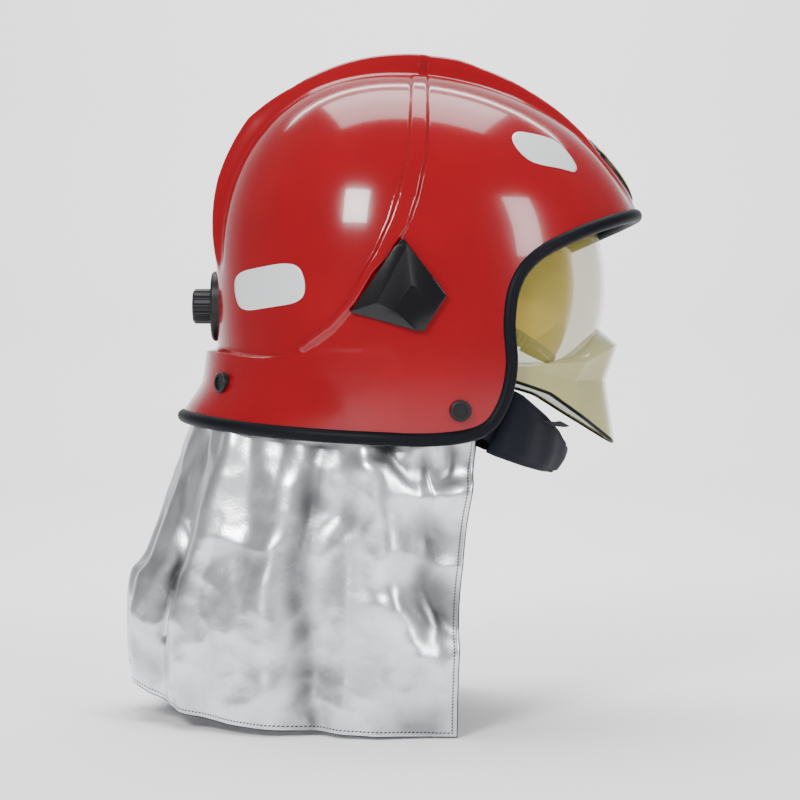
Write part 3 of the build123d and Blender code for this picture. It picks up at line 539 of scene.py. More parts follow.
for side, word in ((1, "left"), (-1, "right")):
    cover_bm = bmesh.new()
    corner = {}
    for name, (x, z, proud) in kite.items():
        corner[name] = cover_bm.verts.new((x, side * (side_y(x, z) + proud), z))
    for names in kite_faces:
        cover_bm.faces.new([corner[name] for name in names])
    rim_edges = [edge for edge in cover_bm.edges if len(edge.link_faces) == 1]
    skirt = bmesh.ops.extrude_edge_only(cover_bm, edges=rim_edges)
    for item in skirt["geom"]:
        if isinstance(item, bmesh.types.BMVert):
            item.co.y = side * (side_y(item.co.x, item.co.z) - 0.0006)
    bmesh.ops.holes_fill(cover_bm, edges=[edge for edge in cover_bm.edges if len(edge.link_faces) == 1])
    bmesh.ops.recalc_face_normals(cover_bm, faces=cover_bm.faces)
    bmesh.ops.bevel(cover_bm, geom=cover_bm.edges[:], offset=0.0007, segments=3, profile=0.5, affect="EDGES",
                    material=-1, clamp_overlap=True)
    cover = new_piece("faceted_cover_" + word, cover_bm, gloss_black)
    cover.data.set_sharp_from_angle(angle=radians(32))
    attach(cover, "helmet")
    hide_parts("side_cover_" + word)

# The reflective patches: die-cut film with tiny corner cubes under a clear face, stuck on the shell.
cube_film, film_shader = paint("corner cube film", (0.60, 0.61, 0.62), 0.32, coat=0.4)
cellular(cube_film, film_shader, 900, (0.66, 0.67, 0.68), (0.50, 0.51, 0.53), 0.15, 0.0001,
         randomness=0.25)
film_outlines = {
    "front": [(0.0652, 0.0812, 0.004), (0.0691, 0.0848, 0.005), (0.0861, 0.0830, 0.008),
              (0.0965, 0.0800, 0.008), (0.1046, 0.0708, 0.007), (0.1090, 0.0624, 0.004),
              (0.1073, 0.0585, 0.003), (0.0985, 0.0605, 0.008), (0.0795, 0.0624, 0.009),
              (0.0711, 0.0683, 0.007), (0.0658, 0.0762, 0.006)],
    "rear": [(-0.1150, -0.0060, 0.010), (-0.0722, -0.0010, 0.015), (-0.0664, -0.0160, 0.007),
             (-0.0692, -0.0278, 0.012), (-0.1110, -0.0322, 0.010), (-0.1160, -0.0190, 0.008)],
}


def rounded(corners, steps):
    """A closed outline whose corners are rounded off by their own lengths."""
    line = []
    for index, (x, z, cut) in enumerate(corners):
        here = Vector((x, z))
        before = Vector(corners[index - 1][:2]) - here
        after = Vector(corners[(index + 1) % len(corners)][:2]) - here
        start = here + before.normalized() * min(cut, before.length * 0.49)
        end = here + after.normalized() * min(cut, after.length * 0.49)
        for step in range(steps + 1):
            share = step / steps
            line.append(start * (1 - share) ** 2 + here * 2 * share * (1 - share) + end * share ** 2)
    return line


def laid(name, columns, rows, place, material, thick=False):
    """A grid, or a thick slab of it, sent to its place, with the flat grid's own square as its UV map."""
    bm = bmesh.new()
    bmesh.ops.create_grid(bm, x_segments=columns, y_segments=rows, size=0.5)
    if thick:
        grown = bmesh.ops.extrude_face_region(bm, geom=bm.faces[:])
        fresh = [item for item in grown["geom"] if isinstance(item, bmesh.types.BMVert)]
        bmesh.ops.translate(bm, verts=fresh, vec=(0, 0, 1))
        bmesh.ops.recalc_face_normals(bm, faces=bm.faces)
    chart = bm.loops.layers.uv.verify()
    for face in bm.faces:
        for corner_loop in face.loops:
            corner_loop[chart].uv = (corner_loop.vert.co.x + 0.5, corner_loop.vert.co.y + 0.5)
    flat = vert_places(bm)
    place_all(bm, place(flat[:, 0] + 0.5, flat[:, 1] + 0.5, flat[:, 2]))
    bmesh.ops.remove_doubles(bm, verts=bm.verts, dist=0.00001)
    bmesh.ops.recalc_face_normals(bm, faces=bm.faces)
    return new_piece(name, bm, material)


for spot, corners in film_outlines.items():
    line = rounded(corners, 6)
    line.append(line[0])
    middle = sum(line, Vector((0, 0))) / len(line)
    for side, word in ((1, "left"), (-1, "right")):
        def film_place(u, v, w):
            steps = np.linspace(0, 1, len(line))
            x = middle.x + (np.interp(u, steps, [place.x for place in line]) - middle.x) * v
            z = middle.y + (np.interp(u, steps, [place.y for place in line]) - middle.y) * v
            y = np.array([side_y(a, b) for a, b in zip(x, z)])
            return np.stack([x, side * (y + 0.0005), z], 1)

        film = laid("film_" + spot + "_" + word, 96, 14, film_place, cube_film)
        thin = film.modifiers.new("thin", "SOLIDIFY")
        thin.thickness = 0.0007
        thin.offset = -1
        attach(film, "helmet")
        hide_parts("reflective_patch_" + spot + "_" + word)

# The front badge: a bare shield-shaped plate, glued on the crest's front end. Its border is black
# enamel and its raised field is brushed brass.
brushed_brass, brass_shader = paint("brushed brass", (0.56, 0.37, 0.10), 0.3, metallic=1.0)
grain(brushed_brass, brass_shader, 500, 0.22, 0.40, bump=0.12, distance=0.0001)
badge_turn = 25.5
badge_half_turn = 9.4
badge_half_width = 0.022
badge_side = [(0, 1), (0.62, 0.86), (1, 0.36), (0.90, -0.22), (0.55, -0.72), (0, -1)]
badge_outline = smooth_line(badge_side + [(-x, z) for x, z in badge_side[-2::-1]], 8)


def badge_layer(name, share, low, high, material):
    def place(u, v, w):
        steps = np.linspace(0, 1, len(badge_outline))
        outline_across, outline_up = np.array(badge_outline).T
        across = np.interp(u, steps, outline_across) * v * share * badge_half_width
        up = np.interp(u, steps, outline_up) * v * share
        turn = np.radians(badge_turn + up * badge_half_turn)
        start = np.stack([np.full(len(u), widest_x), across, np.zeros(len(u))], 1)
        heading = np.stack([np.cos(turn), np.zeros(len(u)), np.sin(turn)], 1)
        form = (shell_crown, shell_front, shell_rear, shell_half_width)
        rounded_edge = (high - low) * w * (1 - 0.45 * (v > 0.97))
        return moulded(reach_out(start, heading, form)) + heading * (low + rounded_edge)[:, None]

    layer = laid(name, 96, 22, place, material, thick=True)
    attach(layer, "helmet")
    return layer


badge_border = badge_layer("badge_border", 1.0, -0.0006, 0.0020, gloss_black)
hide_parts("badge_plate")
badge_layer("badge_field", 0.84, 0.0016, 0.0027, brushed_brass)

# The two visors: moulded polycarbonate that swings on the side pins. The outer face shield is pale
# gold, the inner eye shield is a deeper mirrored gold with a soft black nose edge.
def clear_sheet(name, color, alpha, rough, metallic):
    material, shader = paint(name, color, rough, metallic=metallic, specular=0.12)
    shader.inputs["Alpha"].default_value = alpha
    grain(material, shader, 60, rough * 0.7, rough * 1.4)
    return material


pale_gold = clear_sheet("pale gold polycarbonate", (0.44, 0.39, 0.10), 0.27, 0.03, 0.0)
chin_gold = clear_sheet("thicker pale gold polycarbonate", (0.42, 0.395, 0.12), 0.50, 0.03, 0.0)
mirror_gold = clear_sheet("mirrored gold polycarbonate", (0.50, 0.29, 0.035), 0.90, 0.08, 0.75)
shield_radius = 0.1245
shield_side = 0.104
shield_flat = 0.035
shield_wall = 0.0025
pivot_x = 0.009
pivot_z = -0.0106
shield_top = 28
fold_turns = [0, 15, 30, 45, 60, 72, 90]
fold_heights = [-0.0406, -0.0467, -0.0600, -0.0650, -0.0655, -0.0600, -0.0450]
plan_turns = [0, 9, 33, 58, 90]
plan_x = [0.1405, 0.1370, 0.1140, 0.0750, 0.0090]
plan_y = [0.0, 0.0170, 0.0560, 0.0885, 0.1040]
ledge_heights = [-0.0516, -0.0530, -0.0645, -0.0670, -0.0560]
edge_x = [0.0090, 0.0489, 0.0913, 0.1174, 0.1418]
edge_heights = [-0.0600, -0.0710, -0.0844, -0.1018, -0.1186]
chin_steps = [0, 0.12, 0.44, 1]
chin_swells = [0, 0.0024, -0.0062, 0.0]
bead_radius = 0.0012


def bubble_point(across, turn, inward):
    """A point of the bubble from the angle across it and the turn about the pins."""
    reach = shield_flat + (shield_radius - inward - shield_flat) * np.cos(across)
    side = (shield_side - inward) * np.sin(across)
    return np.stack([pivot_x + reach * np.cos(turn), side, pivot_z + reach * np.sin(turn)], 1)


def fold_turn(across):
    reach = shield_flat + (shield_radius - shield_flat) * np.cos(across)
    height = np.interp(np.abs(np.degrees(across)), fold_turns, fold_heights)
    return np.arcsin(np.clip((height - pivot_z) / reach, -0.72, 0.9))


def bubble_place(u, v, w):
    across = radians(-90) + pi * u
    low = fold_turn(across)
    turn = radians(shield_top) + (low - radians(shield_top)) * v
    return bubble_point(across, turn, shield_wall * w)


def chin_place(u, v, w):
    across = radians(-80) + radians(160) * u
    level = np.abs(np.degrees(across))
    fold = bubble_point(across, fold_turn(across), 0)
    wall_y = np.interp(level, plan_turns, plan_y) * np.sign(across)
    wall = np.stack([np.interp(level, plan_turns, plan_x), wall_y], 1)
    ledge = np.interp(level, plan_turns, ledge_heights)
    low = np.interp(wall[:, 0], edge_x, edge_heights)
    grown = np.minimum(v / chin_steps[1], 1)
    flat = fold[:, :2] + (wall - fold[:, :2]) * grown[:, None]
    height = np.where(v < chin_steps[1], fold[:, 2] + (ledge - fold[:, 2]) * grown,
                      ledge + (low - ledge) * (v - chin_steps[1]) / (1 - chin_steps[1]))
    swell = np.interp(v, chin_steps, chin_swells) * ease(58 - level, 0, 30) - shield_wall * w
    out = flat - np.array([pivot_x, 0])
    out *= (1 + swell / np.linalg.norm(out, axis=1))[:, None]
    return np.stack([pivot_x + out[:, 0], out[:, 1], height], 1)


shield_bubble = laid("shield_bubble", 96, 40, bubble_place, pale_gold, thick=True)
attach(shield_bubble, "face_shield")
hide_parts("face_shield")
shield_chin = laid("shield_chin_guard", 160, 25, chin_place, chin_gold, thick=True)
shield_chin.data.set_sharp_from_angle(angle=radians(14))
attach(shield_chin, "face_shield")


def edge_bead(name, places, body):
    """A soft round bead pressed on a shield's edge."""
    bead = rubber_tube(name, places, bead_radius, 3, closed=False)
    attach(bead, body)


hem_run = np.linspace(0.08, 0.92, 72)
hem_places = chin_place(hem_run, np.ones(72), np.full(72, 0.5)) - np.array([0, 0, 0.0006])
edge_bead("shield_edge_seal", hem_places, "face_shield")

finish(mirror_gold, "eye_shield")
eye_radius = 0.1035
eye_side = 0.095
eye_turn = radians(-29)
for word, ends in (("left", (0.16, 1.25)), ("right", (-1.25, -0.16))):
    across = np.linspace(*ends, 40)
    eye_reach = shield_flat + (eye_radius - 0.0011 - shield_flat) * np.cos(across)
    eye_places = np.stack([pivot_x + eye_reach * cos(eye_turn), (eye_side - 0.0011) * np.sin(across),
                           pivot_z + eye_reach * sin(eye_turn)], 1)
    edge_bead("eye_shield_bead_" + word, eye_places, "eye_shield")

# The chin harness: a loop of navy-black webbing that turns on the side screws, with a broad padded
# chin cup sewn on it. The left side carries the side-release buckle.
strap_reach = 0.076
strap_side = 0.105
strap_thickness = 0.0024
strap_width = 0.020
harness_start = Vector((0.0313, 0, -0.0964))
harness_slope = radians(-25)


def in_harness(turn, across, outset):
    """From the angle round the loop, the place across the strap and the height off it."""
    reach = strap_reach + outset
    side = strap_side + outset
    along = reach * np.cos(turn)
    return np.stack([
        harness_start.x + along * cos(harness_slope) - across * sin(harness_slope),
        side * np.sin(turn),
        harness_start.z + along * sin(harness_slope) + across * cos(harness_slope)], 1)


def woven(name, light, dark, ribs_u, ribs_v):
    """Woven tape: ribs across and along on the piece's own UV map."""
    material, shader = paint(name, dark, 0.75, specular=0.15)
    chart = add_node(material, "UVMap")
    spread = add_node(material, "Mapping")
    spread.inputs["Scale"].default_value = (ribs_u, ribs_v, 1)
    weave = add_node(material, "TexBrick", Scale=1.0)
    weave.inputs["Color1"].default_value = (*light, 1)
    weave.inputs["Color2"].default_value = (*dark, 1)
    weave.inputs["Mortar"].default_value = (dark[0] * 0.3, dark[1] * 0.3, dark[2] * 0.3, 1)
    weave.inputs["Mortar Size"].default_value = 0.06
    weave.inputs["Brick Width"].default_value = 1.0
    weave.inputs["Row Height"].default_value = 0.5
    link(chart.outputs["UV"], spread.inputs["Vector"])
    link(spread.outputs["Vector"], weave.inputs["Vector"])
    link(weave.outputs["Color"], shader.inputs["Base Color"])
    emboss(material, shader, weave.outputs["Fac"], 0.5, 0.0003, invert=True)
    shader.inputs["Sheen Weight"].default_value = 0.04
    return material


navy_webbing = woven("navy webbing", (0.005, 0.0065, 0.017), (0.002, 0.003, 0.009), 30, 14)


def strap_run(name, first, last):
    def place(u, v, w):
        turn = first + (last - first) * u
        crown = 1 - (2 * v - 1) ** 8
        off = -strap_thickness / 2 + (w - 0.5) * strap_thickness * (0.45 + 0.55 * crown)
        return in_harness(turn, (v - 0.5) * strap_width, off)
    return laid(name, 90, 12, place, navy_webbing, thick=True)


straps = [
    (strap_run("webbing_right", radians(-90), radians(-46)), "chin_strap_right"),
    (strap_run("webbing_left_rear", radians(90), radians(74.5)), "chin_strap_left"),
    (strap_run("webbing_left_front", radians(57), radians(46)), "chin_strap_left"),
]
for strap, replaced in straps:
    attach(strap, "chin_harness")
    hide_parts(replaced)

chin_cloth = woven("navy chin cloth", (0.0038, 0.0052, 0.0150), (0.0018, 0.0024, 0.0075), 220, 60)
# The cup's edge: place forward in millimetres, and its upper and lower reach in metres.
cup_reach = [(0.0, 0.0235, -0.0165), (22, 0.0265, -0.0170), (32, 0.0262, -0.0170), (52, 0.0212, -0.0152),
             (66, 0.0160, -0.0132), (72, 0.0126, -0.0116), (77, 0.0120, -0.0112)]


def cup_place(u, v, w):
    turn = radians(-70) + radians(140) * u
    along = 1000 * strap_reach * np.cos(turn)
    starts, tops, lows = zip(*cup_reach)
    top = np.interp(along, starts, tops)
    low = np.interp(along, starts, lows)
    across = low + (top - low) * v
    pad = (1 - np.abs(2 * v - 1) ** 5) * (1 - np.abs(2 * u - 1) ** 26)
    seam = np.exp(-((np.abs(2 * v - 1) - 0.84) / 0.035) ** 2)
    quilt = 0.0007 * np.sin(np.degrees(turn) * 0.35 + v * 3) * pad
    outer = 0.0012 + 0.0034 * pad - 0.0007 * seam + quilt
    inner = 0.0002 - 0.0006 * pad
    cup_out = 0.0012 * np.clip(1 - np.abs(v - 0.5) * 2, 0, 1)
    return in_harness(turn, across, inner + (outer - inner) * w + cup_out - 0.0008 * w * seam)


chin_cup = laid("chin_cup_pad", 150, 34, cup_place, chin_cloth, thick=True)
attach(chin_cup, "chin_harness")
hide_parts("chin_cup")

# The tab: places forward in millimetres, and their reach up from the loop in metres.
tab_span = 0.16
tab_points = [(50, 0.0165), (55, 0.0180), (59.5, 0.0196), (62.5, 0.0220)]


def tab_place(u, v, w):
    steps = np.linspace(0, 1, len(tab_points))
    along, across = [np.interp(u, steps, values) for values in zip(*tab_points)]
    turn = -np.arccos(along / 1000 / strap_reach) + (v - 0.5) * tab_span
    return in_harness(turn, across, 0.0038 + 0.0014 * w + 0.0016 * u)


tab = laid("strap_tab", 14, 6, tab_place, navy_webbing, thick=True)
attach(tab, "chin_harness")

# The crown cradle: two crossed webbing straps, sewn where they meet, that hold the liner off the
# crown. Their ends go down into the headband.
head_form = [size - 0.0003 for size in (0.092, 0.090, 0.112, 0.082)]
cradle_width = 0.026
cradle_thickness = 0.0008
cradle_webbing = woven("grey cradle webbing", (0.050, 0.052, 0.058), (0.026, 0.028, 0.032), 90, 18)


def cradle_place(lengthways):
    def place(u, v, w):
        turn = pi * u
        across = (v - 0.5) * cradle_width
        zero = np.zeros(len(u))
        drop = zero + 0.012
        if lengthways:
            start = np.stack([zero + widest_x, across, drop], 1)
            heading = np.stack([np.cos(turn), zero, np.sin(turn)], 1)
        else:
            start = np.stack([across + widest_x, zero, drop], 1)
            heading = np.stack([zero, np.cos(turn), np.sin(turn)], 1)
        inset = 0.0012 if lengthways else 0.0003
        on = reach_out(start, heading, [size - inset for size in head_form])
        return on - heading * (w * cradle_thickness)[:, None]
    return place


for name, lengthways in (("cradle_lengthways", True), ("cradle_crossways", False)):
    cradle = laid(name, 120, 10, cradle_place(lengthways), cradle_webbing, thick=True)
    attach(cradle, "helmet")
    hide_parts("crown_cradle")

# The comfort pads: foam in brushed knit cloth, sewn round the edge. The crown pad hangs under the
# cradle, the brow and nape pads line the headband, and a cheek pad sits inside each side.
knit, knit_shader = paint("brushed knit cloth", (0.030, 0.031, 0.036), 0.9)
knit_shader.inputs["Sheen Weight"].default_value = 0.4
mottle(knit, knit_shader, (0.040, 0.041, 0.047), (0.022, 0.023, 0.027), 240)
grain(knit, knit_shader, 1700, 0.82, 0.98, bump=0.45, distance=0.0004, detail=1.0)
swell_frames = 20


def swollen(name, node, voxel, shrink, press, cap):
    """A pad from its solid: remeshed evenly, blown up a little as cloth, and held near its start."""
    bm = bmesh.new()
    bm.from_mesh(nodes[node].data)
    bmesh.ops.remove_doubles(bm, verts=bm.verts, dist=0.00002)
    bmesh.ops.recalc_face_normals(bm, faces=bm.faces)
    pad = new_piece(name, bm, knit)
    even = pad.modifiers.new("even", "REMESH")
    even.mode = "VOXEL"
    even.voxel_size = voxel
    pad.data = bpy.data.meshes.new_from_object(pad.evaluated_get(bpy.context.evaluated_depsgraph_get()))
    pad.modifiers.clear()
    smooth_bm = bmesh.new()
    smooth_bm.from_mesh(pad.data)
    for _ in range(2):
        bmesh.ops.smooth_vert(smooth_bm, verts=smooth_bm.verts, factor=0.5, use_axis_x=True, use_axis_y=True,
                              use_axis_z=True)
    smooth_bm.normal_update()
    for vert in smooth_bm.verts:
        vert.co -= vert.normal * shrink
    smooth_bm.to_mesh(pad.data)
    smooth_bm.free()
    start = coordinates(pad.data)
    cloth = pad.modifiers.new("swell", "CLOTH")
    cloth.settings.use_pressure = True
    cloth.settings.uniform_pressure_force = press
    cloth.settings.tension_stiffness = 12
    cloth.settings.compression_stiffness = 12
    cloth.settings.effector_weights.gravity = 0
    cloth.point_cache.frame_start = 1
    cloth.point_cache.frame_end = swell_frames
    for frame_number in range(1, swell_frames + 1):
        bpy.context.scene.frame_set(frame_number)
    moved = coordinates(pad.evaluated_get(bpy.context.evaluated_depsgraph_get()).data)
    pad.modifiers.clear()
    bpy.context.scene.frame_set(1)
    shift = moved - start
    far = np.linalg.norm(shift, axis=1)
    start = start + shift * np.minimum(1, cap / np.maximum(far, 1e-9))[:, None]
    pad.data.vertices.foreach_set("co", start.ravel())
    pad.data.update()
    round_off = pad.modifiers.new("round", "SUBSURF")
    round_off.levels = 1
    round_off.render_levels = 1
    pad.data.shade_smooth()
    if not pad.data.materials:
        pad.data.materials.append(knit)
    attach(pad, "helmet")
    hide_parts(node)


swollen("brow_cushion", "brow_pad", 0.0018, 0.0003, 3, 0.0006)
swollen("crown_cushion", "crown_pad", 0.0024, 0.0004, 3, 0.0010)
swollen("nape_cushion", "nape_pad", 0.0020, 0.0004, 3, 0.0006)
swollen("cheek_cushion_left", "cheek_pad_left", 0.0030, 0.0012, 4, 0.0012)
swollen("cheek_cushion_right", "cheek_pad_right", 0.0030, 0.0012, 4, 0.0012)

# The neck curtain: aluminised aramid cloth, cut in one piece, hemmed with one row of stitches and
# pressed on a band inside the shell's lower edge. It hangs in soft folds over the neck.
curtain_top = -0.088
curtain_hem = -0.302
curtain_rear = 0.197
curtain_half_width = 0.111
curtain_front = 0.042
curtain_rows = smooth_line([
    (0.00, 0.712, 0.970, 1.00, 0.02), (0.05, 0.750, 0.968, 1.00, 0.04), (0.15, 0.782, 0.968, 1.00, 0.30),
    (0.32, 0.835, 0.990, 0.88, 0.70), (0.49, 0.900, 1.005, 0.79, 0.80), (0.58, 0.958, 1.010, 0.76, 0.80),
    (0.80, 0.972, 1.030, 0.72, 0.80), (1.00, 0.935, 1.050, 0.70, 0.70)], 10)
hem_line = smooth_line([(-0.2364, -0.2537), (-0.1931, -0.2703), (-0.1635, -0.2884), (-0.1084, -0.2975),
                        (0, -0.302), (0.06, -0.302)], 10)
cloth_inset = 0.0012
fold_depth = 0.007
fold_shares = [0.25, -0.5, 0.9, -0.8, 0.5, -1.0, 0.8, -0.6, 1.0, -0.9, 0.7, -1.0, 0.9, -0.4, 0.6, -0.9, 0.5,
               -0.2]

# Long folds in side view: places down the fold, its half width, and how far it stands out.
long_folds = [
    ([(-0.117, -0.110), (-0.121, -0.170), (-0.119, -0.230), (-0.114, -0.300)], 0.015, 0.0058),
    ([(-0.063, -0.120), (-0.073, -0.186), (-0.068, -0.280), (-0.064, -0.300)], 0.012, -0.0046),
    ([(-0.030, -0.118), (-0.018, -0.165), (-0.010, -0.215), (0.004, -0.250)], 0.012, 0.0056),
    ([(-0.088, -0.150), (-0.092, -0.220), (-0.090, -0.300)], 0.013, 0.0026),
    ([(0.012, -0.165), (0.010, -0.205), (0.016, -0.235)], 0.013, -0.0042),
    ([(-0.045, -0.180), (-0.040, -0.240), (-0.046, -0.300)], 0.012, 0.0034),
    ([(-0.134, -0.110), (-0.1506, -0.1395), (-0.1545, -0.1688), (-0.153, -0.195), (-0.156, -0.215),
      (-0.166, -0.245)], 0.0035, -0.0038),
]
sag_line = [(-0.0151, -0.1262), (-0.0037, -0.1400), (0.0057, -0.1464), (0.0215, -0.1439), (0.0392, -0.1388)]
tuck_line = [(-0.009, -0.214), (0.008, -0.228), (0.031, -0.241)]


def line_share(points, x, z):
    """Distance from a line of places in side view, and the height over it."""
    nearest = np.full(len(x), 1.0)
    for start, end in zip(points, points[1:]):
        nearest = np.minimum(nearest, off_segment(x, z, start, end)[0])
    heights = np.interp(x, [point[0] for point in points], [point[1] for point in points])
    return nearest, z - heights


def crumple(places, scale, seed):
    """Sharp little creases: folded noise at one scale."""
    shift = Vector((seed, seed * 0.7, -seed))
    return np.array([1 - 2 * abs(noise.noise(Vector(place) * scale + shift)) for place in places])


def curtain_relief(x, y, z, drop):
    side_share = ease(np.abs(y), 0.02, 0.06)
    mirrored_x = np.where(y > 0, x + 0.006, x)
    total = np.zeros(len(x))
    for points, half, proud in long_folds:
        off, _ = line_share(points, mirrored_x, z)
        total += proud * np.exp(-(off / half) ** 2)
    for points, step in ((sag_line, 0.0042), (tuck_line, 0.0022)):
        off, over = line_share(points, mirrored_x, z)
        within = np.exp(-(off / 0.022) ** 2)
        total += within * step * np.where(over < 0, 1, 0.8) * np.tanh(-over / 0.006)
    around = np.arctan2(y, x - widest_x)
    waves = np.sin(around * 27 + 2.2 * np.sin(around * 5))
    gathers = 0.0014 * waves * np.exp(-((drop - 0.12) / 0.12) ** 2)
    return total * side_share + gathers


def curtain_place(u, v, w):
    drops, rears, widths, fronts, folds = [np.array(values) for values in zip(*curtain_rows)]
    hem_x, hem_z = [np.array(values) for values in zip(*hem_line)]
    drop = v.copy()
    for _ in range(4):
        rear = curtain_rear * np.interp(drop, drops, rears)
        half = curtain_half_width * np.interp(drop, drops, widths)
        front = curtain_front * np.interp(drop, drops, fronts)
        depth = fold_depth * np.interp(drop, drops, folds)
        front_share = (front - widest_x) / (shell_front - widest_x)
        first = np.arccos(front_share)
        turn = first + (2 * pi - 2 * first) * u
        reach = np.where(np.cos(turn) > 0, shell_front - widest_x, rear + widest_x)
        x = widest_x + reach * np.cos(turn)
        top = curtain_top - 0.0250 * ease(x, 0.009, 0.016)
        low = np.interp(x, hem_x, hem_z)
        z = top + (low - top) * v
        drop = (z - curtain_top) / (curtain_hem - curtain_top)
    piece = u * len(fold_shares)
    index = np.clip(piece.astype(int), 0, len(fold_shares) - 1)
    swell = depth * np.array(fold_shares)[index] * np.sin(pi * (piece - index)) ** 1.3
    y = half * np.sin(turn)
    swell = swell + curtain_relief(x, y, z, drop)
    x = widest_x + (reach + swell) * np.cos(turn)
    y = (half + swell) * np.sin(turn)
    places = np.stack([x, y, z], 1)
    creases = 0.0017 * crumple(places, 21, 3.1) + 0.0006 * crumple(places, 47, 8.4)
    creases += 0.00010 * crumple(places, 130, 5.2)
    creases *= 0.25 + 0.75 * ease(drop, 0.03, 0.2)
    flat = np.stack([np.cos(turn), np.sin(turn), np.zeros(len(turn))], 1)
    return places + flat * (creases - cloth_inset)[:, None]


silver_cloth, silver_shader = paint("aluminised aramid", (0.80, 0.81, 0.82), 0.3, metallic=1.0)
cloth_uv = add_node(silver_cloth, "UVMap")
cloth_where = add_node(silver_cloth, "TexCoord")
apart = add_node(silver_cloth, "SeparateXYZ")
link(cloth_uv.outputs["UV"], apart.inputs["Vector"])
cloth_length = 0.545
cloth_height = 0.205


def sum_up(kind, first, second=None):
    """One arithmetic node, with a number or another node's output on each side."""
    node = add_node(silver_cloth, "Math", operation=kind)
    for socket, value in zip(node.inputs, (first, second)):
        if value is None:
            continue
        if isinstance(value, (int, float)):
            socket.default_value = value
        else:
            link(value, socket)
    return node.outputs[0]


from_side = sum_up("PINGPONG", apart.outputs["X"], 0.5)
from_side = sum_up("MULTIPLY", from_side, cloth_length)
from_hem = sum_up("SUBTRACT", 1.0, apart.outputs["Y"])
from_hem = sum_up("MULTIPLY", from_hem, cloth_height)
edge_run = sum_up("MINIMUM", from_side, from_hem)
on_row = sum_up("COMPARE", edge_run, 0.0030)
on_row.node.inputs[2].default_value = 0.00045
run = sum_up("ADD", sum_up("MULTIPLY", apart.outputs["X"], cloth_length),
             sum_up("MULTIPLY", apart.outputs["Y"], cloth_height))
dash = sum_up("FRACT", sum_up("DIVIDE", run, 0.0022))
stitch = sum_up("MULTIPLY", on_row, sum_up("LESS_THAN", dash, 0.62))
raw_edge = sum_up("LESS_THAN", edge_run, 0.0006)
dark_share = sum_up("MAXIMUM", stitch, raw_edge)
patina = add_node(silver_cloth, "TexNoise", Scale=38.0, Detail=6.0, Roughness=0.62)
sewn = add_node(silver_cloth, "Mix", data_type="RGBA")
sewn.inputs[7].default_value = (0.045, 0.047, 0.055, 1)
link(cloth_where.outputs["Object"], patina.inputs["Vector"])
patina_tone = two_tones(
    silver_cloth, patina.outputs["Fac"], (0.66, 0.675, 0.70), (0.90, 0.905, 0.91), 0.32, 0.66)
# Painted shade of the folds: a colour attribute, darker in the valleys and creases, multiplies the foil's
# colour.
fold_shade = add_node(silver_cloth, "Attribute", attribute_name="fold_shade")
toned = add_node(silver_cloth, "Mix", data_type="RGBA", blend_type="MULTIPLY")
toned.inputs[0].default_value = 1.0
link(patina_tone, toned.inputs[6])
link(fold_shade.outputs["Color"], toned.inputs[7])
link(toned.outputs[2], sewn.inputs[6])
link(dark_share, sewn.inputs[0])
link(sewn.outputs[2], silver_shader.inputs["Base Color"])
link(span(silver_cloth, patina.outputs["Fac"], 0.36, 0.27), silver_shader.inputs["Roughness"])
fine = add_node(silver_cloth, "TexNoise", Scale=620.0, Detail=3.0)
crinkle = add_node(silver_cloth, "TexVoronoi", Scale=190.0, feature="DISTANCE_TO_EDGE")
both = sum_up("MULTIPLY", crinkle.outputs["Distance"], 0.9)
both = sum_up("ADD", fine.outputs["Fac"], both)
both = sum_up("SUBTRACT", both, sum_up("MULTIPLY", on_row, 0.8))
link(cloth_where.outputs["Object"], fine.inputs["Vector"])
link(cloth_where.outputs["Object"], crinkle.inputs["Vector"])
emboss(silver_cloth, silver_shader, both, 0.14, 0.0005)

curtain = laid("aluminised_curtain", 300, 116, curtain_place, silver_cloth)
spots = coordinates(curtain.data)
spot_drop = (spots[:, 2] - curtain_top) / (curtain_hem - curtain_top)
# Painted shade: the foil's colour is darkened in the fold valleys and creases and kept bright on the ridges,
# worked out from the folds' relief.
painted_fold_shade = curtain_relief(spots[:, 0], spots[:, 1], spots[:, 2], spot_drop) / 0.0042
painted_fold_shade += 0.55 * crumple(spots, 21, 3.1) + 0.35 * crumple(spots, 47, 8.4)
tone = 0.17 + 0.83 * ease(painted_fold_shade, -1.0, 0.75)
layer = curtain.data.color_attributes.new("fold_shade", "FLOAT_COLOR", "POINT")
layer.data.foreach_set("color", np.stack([tone, tone * 1.01, tone * 1.03, np.ones(len(tone))], 1).ravel())
body = curtain.modifiers.new("cloth", "SOLIDIFY")
body.thickness = 0.0011
body.offset = 0
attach(curtain, "helmet")
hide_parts("neck_curtain")

# The curtain's fixing band: a strip of hook tape glued inside the shell's lower edge.
hook_tape, tape_shader = paint("hook tape", (0.012, 0.012, 0.014), 0.8)
grain(hook_tape, tape_shader, 2200, 0.7, 0.95, bump=0.6, distance=0.0004, detail=1.0)
band_width = 0.016
band_rise = 0.115 * shell_crown
tape_gap = 0.0004
tape_thickness = 0.0016


def section_reach(turn, z, inset):
    """How far the shell's inner face is from the widest line, at an angle and a height."""
    x = np.cos(turn)
    length, width = dome_sides(z, widest_x + x, inset)
    dome_reach = 1 / np.hypot(x / length, np.sin(turn) / width)
    collar_length = collar_reach(z) - inset + widest_x
    collar_out = 1 / np.hypot(x / collar_length, np.sin(turn) / (width - collar_tuck))
    return np.where(x < 0, np.maximum(dome_reach, collar_out), dome_reach)


def band_place(u, v, w):
    turn = radians(88) + radians(184) * u
    z = np.zeros(len(u)) - 0.09
    for _ in range(6):
        reach = section_reach(turn, z, shell_wall)
        rim = np.interp(widest_x + reach * np.cos(turn), rim_x, rim_z)
        z = rim + band_rise + band_width * (v - 0.5)
    reach = section_reach(turn, z, shell_wall + tape_gap + tape_thickness * w)
    return np.stack([widest_x + reach * np.cos(turn), reach * np.sin(turn), z], 1)


tape = laid("hook_tape", 160, 8, band_place, hook_tape, thick=True)
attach(tape, "helmet")
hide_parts("curtain_band")

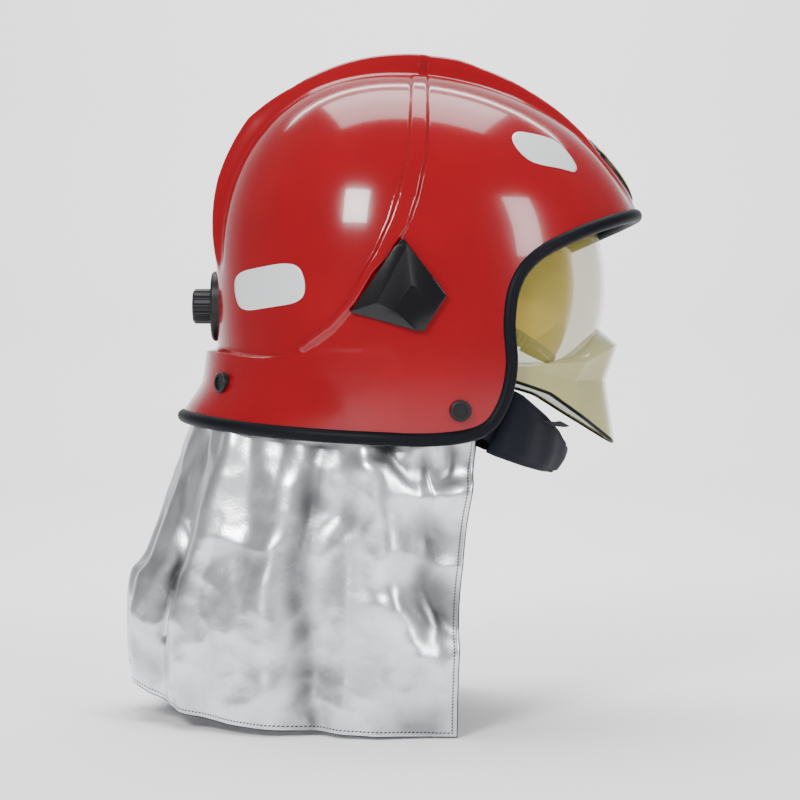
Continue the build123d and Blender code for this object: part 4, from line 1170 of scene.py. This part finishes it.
# The floor and backdrop: one sheet of pale card that curves up behind the helmet.
card, card_shader = paint("pale card", (0.86, 0.86, 0.87), 0.9)
grain(card, card_shader, 40, 0.86, 0.94)
floor_z = cad_box[0].z - 0.001
card_width = 18.0
sweep_bm = bmesh.new()
profile = [(-9.0, 0.0), (1.4, 0.0), (1.9, 0.06), (2.3, 0.35), (2.5, 0.8), (2.55, 5.0)]
row = [sweep_bm.verts.new((-card_width / 2, y, floor_z + z)) for y, z in profile]
lines = [sweep_bm.edges.new(pair) for pair in zip(row, row[1:])]
grown = bmesh.ops.extrude_edge_only(sweep_bm, edges=lines)
far_row = [item for item in grown["geom"] if isinstance(item, bmesh.types.BMVert)]
bmesh.ops.translate(sweep_bm, verts=far_row, vec=(card_width, 0, 0))
backdrop = new_piece("backdrop", sweep_bm, card)

# Light: two soft boxes on the camera's side, one over the crown, one that washes the backdrop, and a
# plain even room.
world = bpy.data.worlds.new("studio")
bpy.context.scene.world = world
world.use_nodes = True
world.node_tree.nodes["Background"].inputs["Color"].default_value = (1, 1, 1, 1)
world.node_tree.nodes["Background"].inputs["Strength"].default_value = 0.34


def soft_box(name, place, target, size, power):
    lamp = bpy.data.lights.new(name, "AREA")
    lamp.shape = "RECTANGLE"
    lamp.size, lamp.size_y = size
    lamp.energy = power
    holder = bpy.data.objects.new(name, lamp)
    holder.location = place
    holder.rotation_euler = (Vector(target) - Vector(place)).to_track_quat("-Z", "Y").to_euler()
    bpy.context.scene.collection.objects.link(holder)


soft_box("key_left", (-0.7, -1.5, 0.75), (0, 0, 0.02), (0.45, 0.5), 34)
soft_box("key_right", (1.4, -1.3, 0.6), (0, 0, 0), (0.4, 0.9), 20)
soft_box("over_crown", (0.0, 0.2, 1.7), (0, 0, 0), (1.6, 1.0), 42)
soft_box("backdrop_wash", (0.0, 0.9, 1.5), (0, 2.3, 0.1), (2.4, 0.5), 70)

# The camera stands square to the wearer's right side, level with the collar's lower edge.
camera_data = bpy.data.cameras.new("camera")
camera_data.lens = 87.8
camera_data.sensor_width = 36
camera = bpy.data.objects.new("camera", camera_data)
camera.location = (-0.0069, -1.344, -0.0895)
camera.rotation_euler = (radians(90), 0, 0)
bpy.context.scene.collection.objects.link(camera)
bpy.context.scene.camera = camera
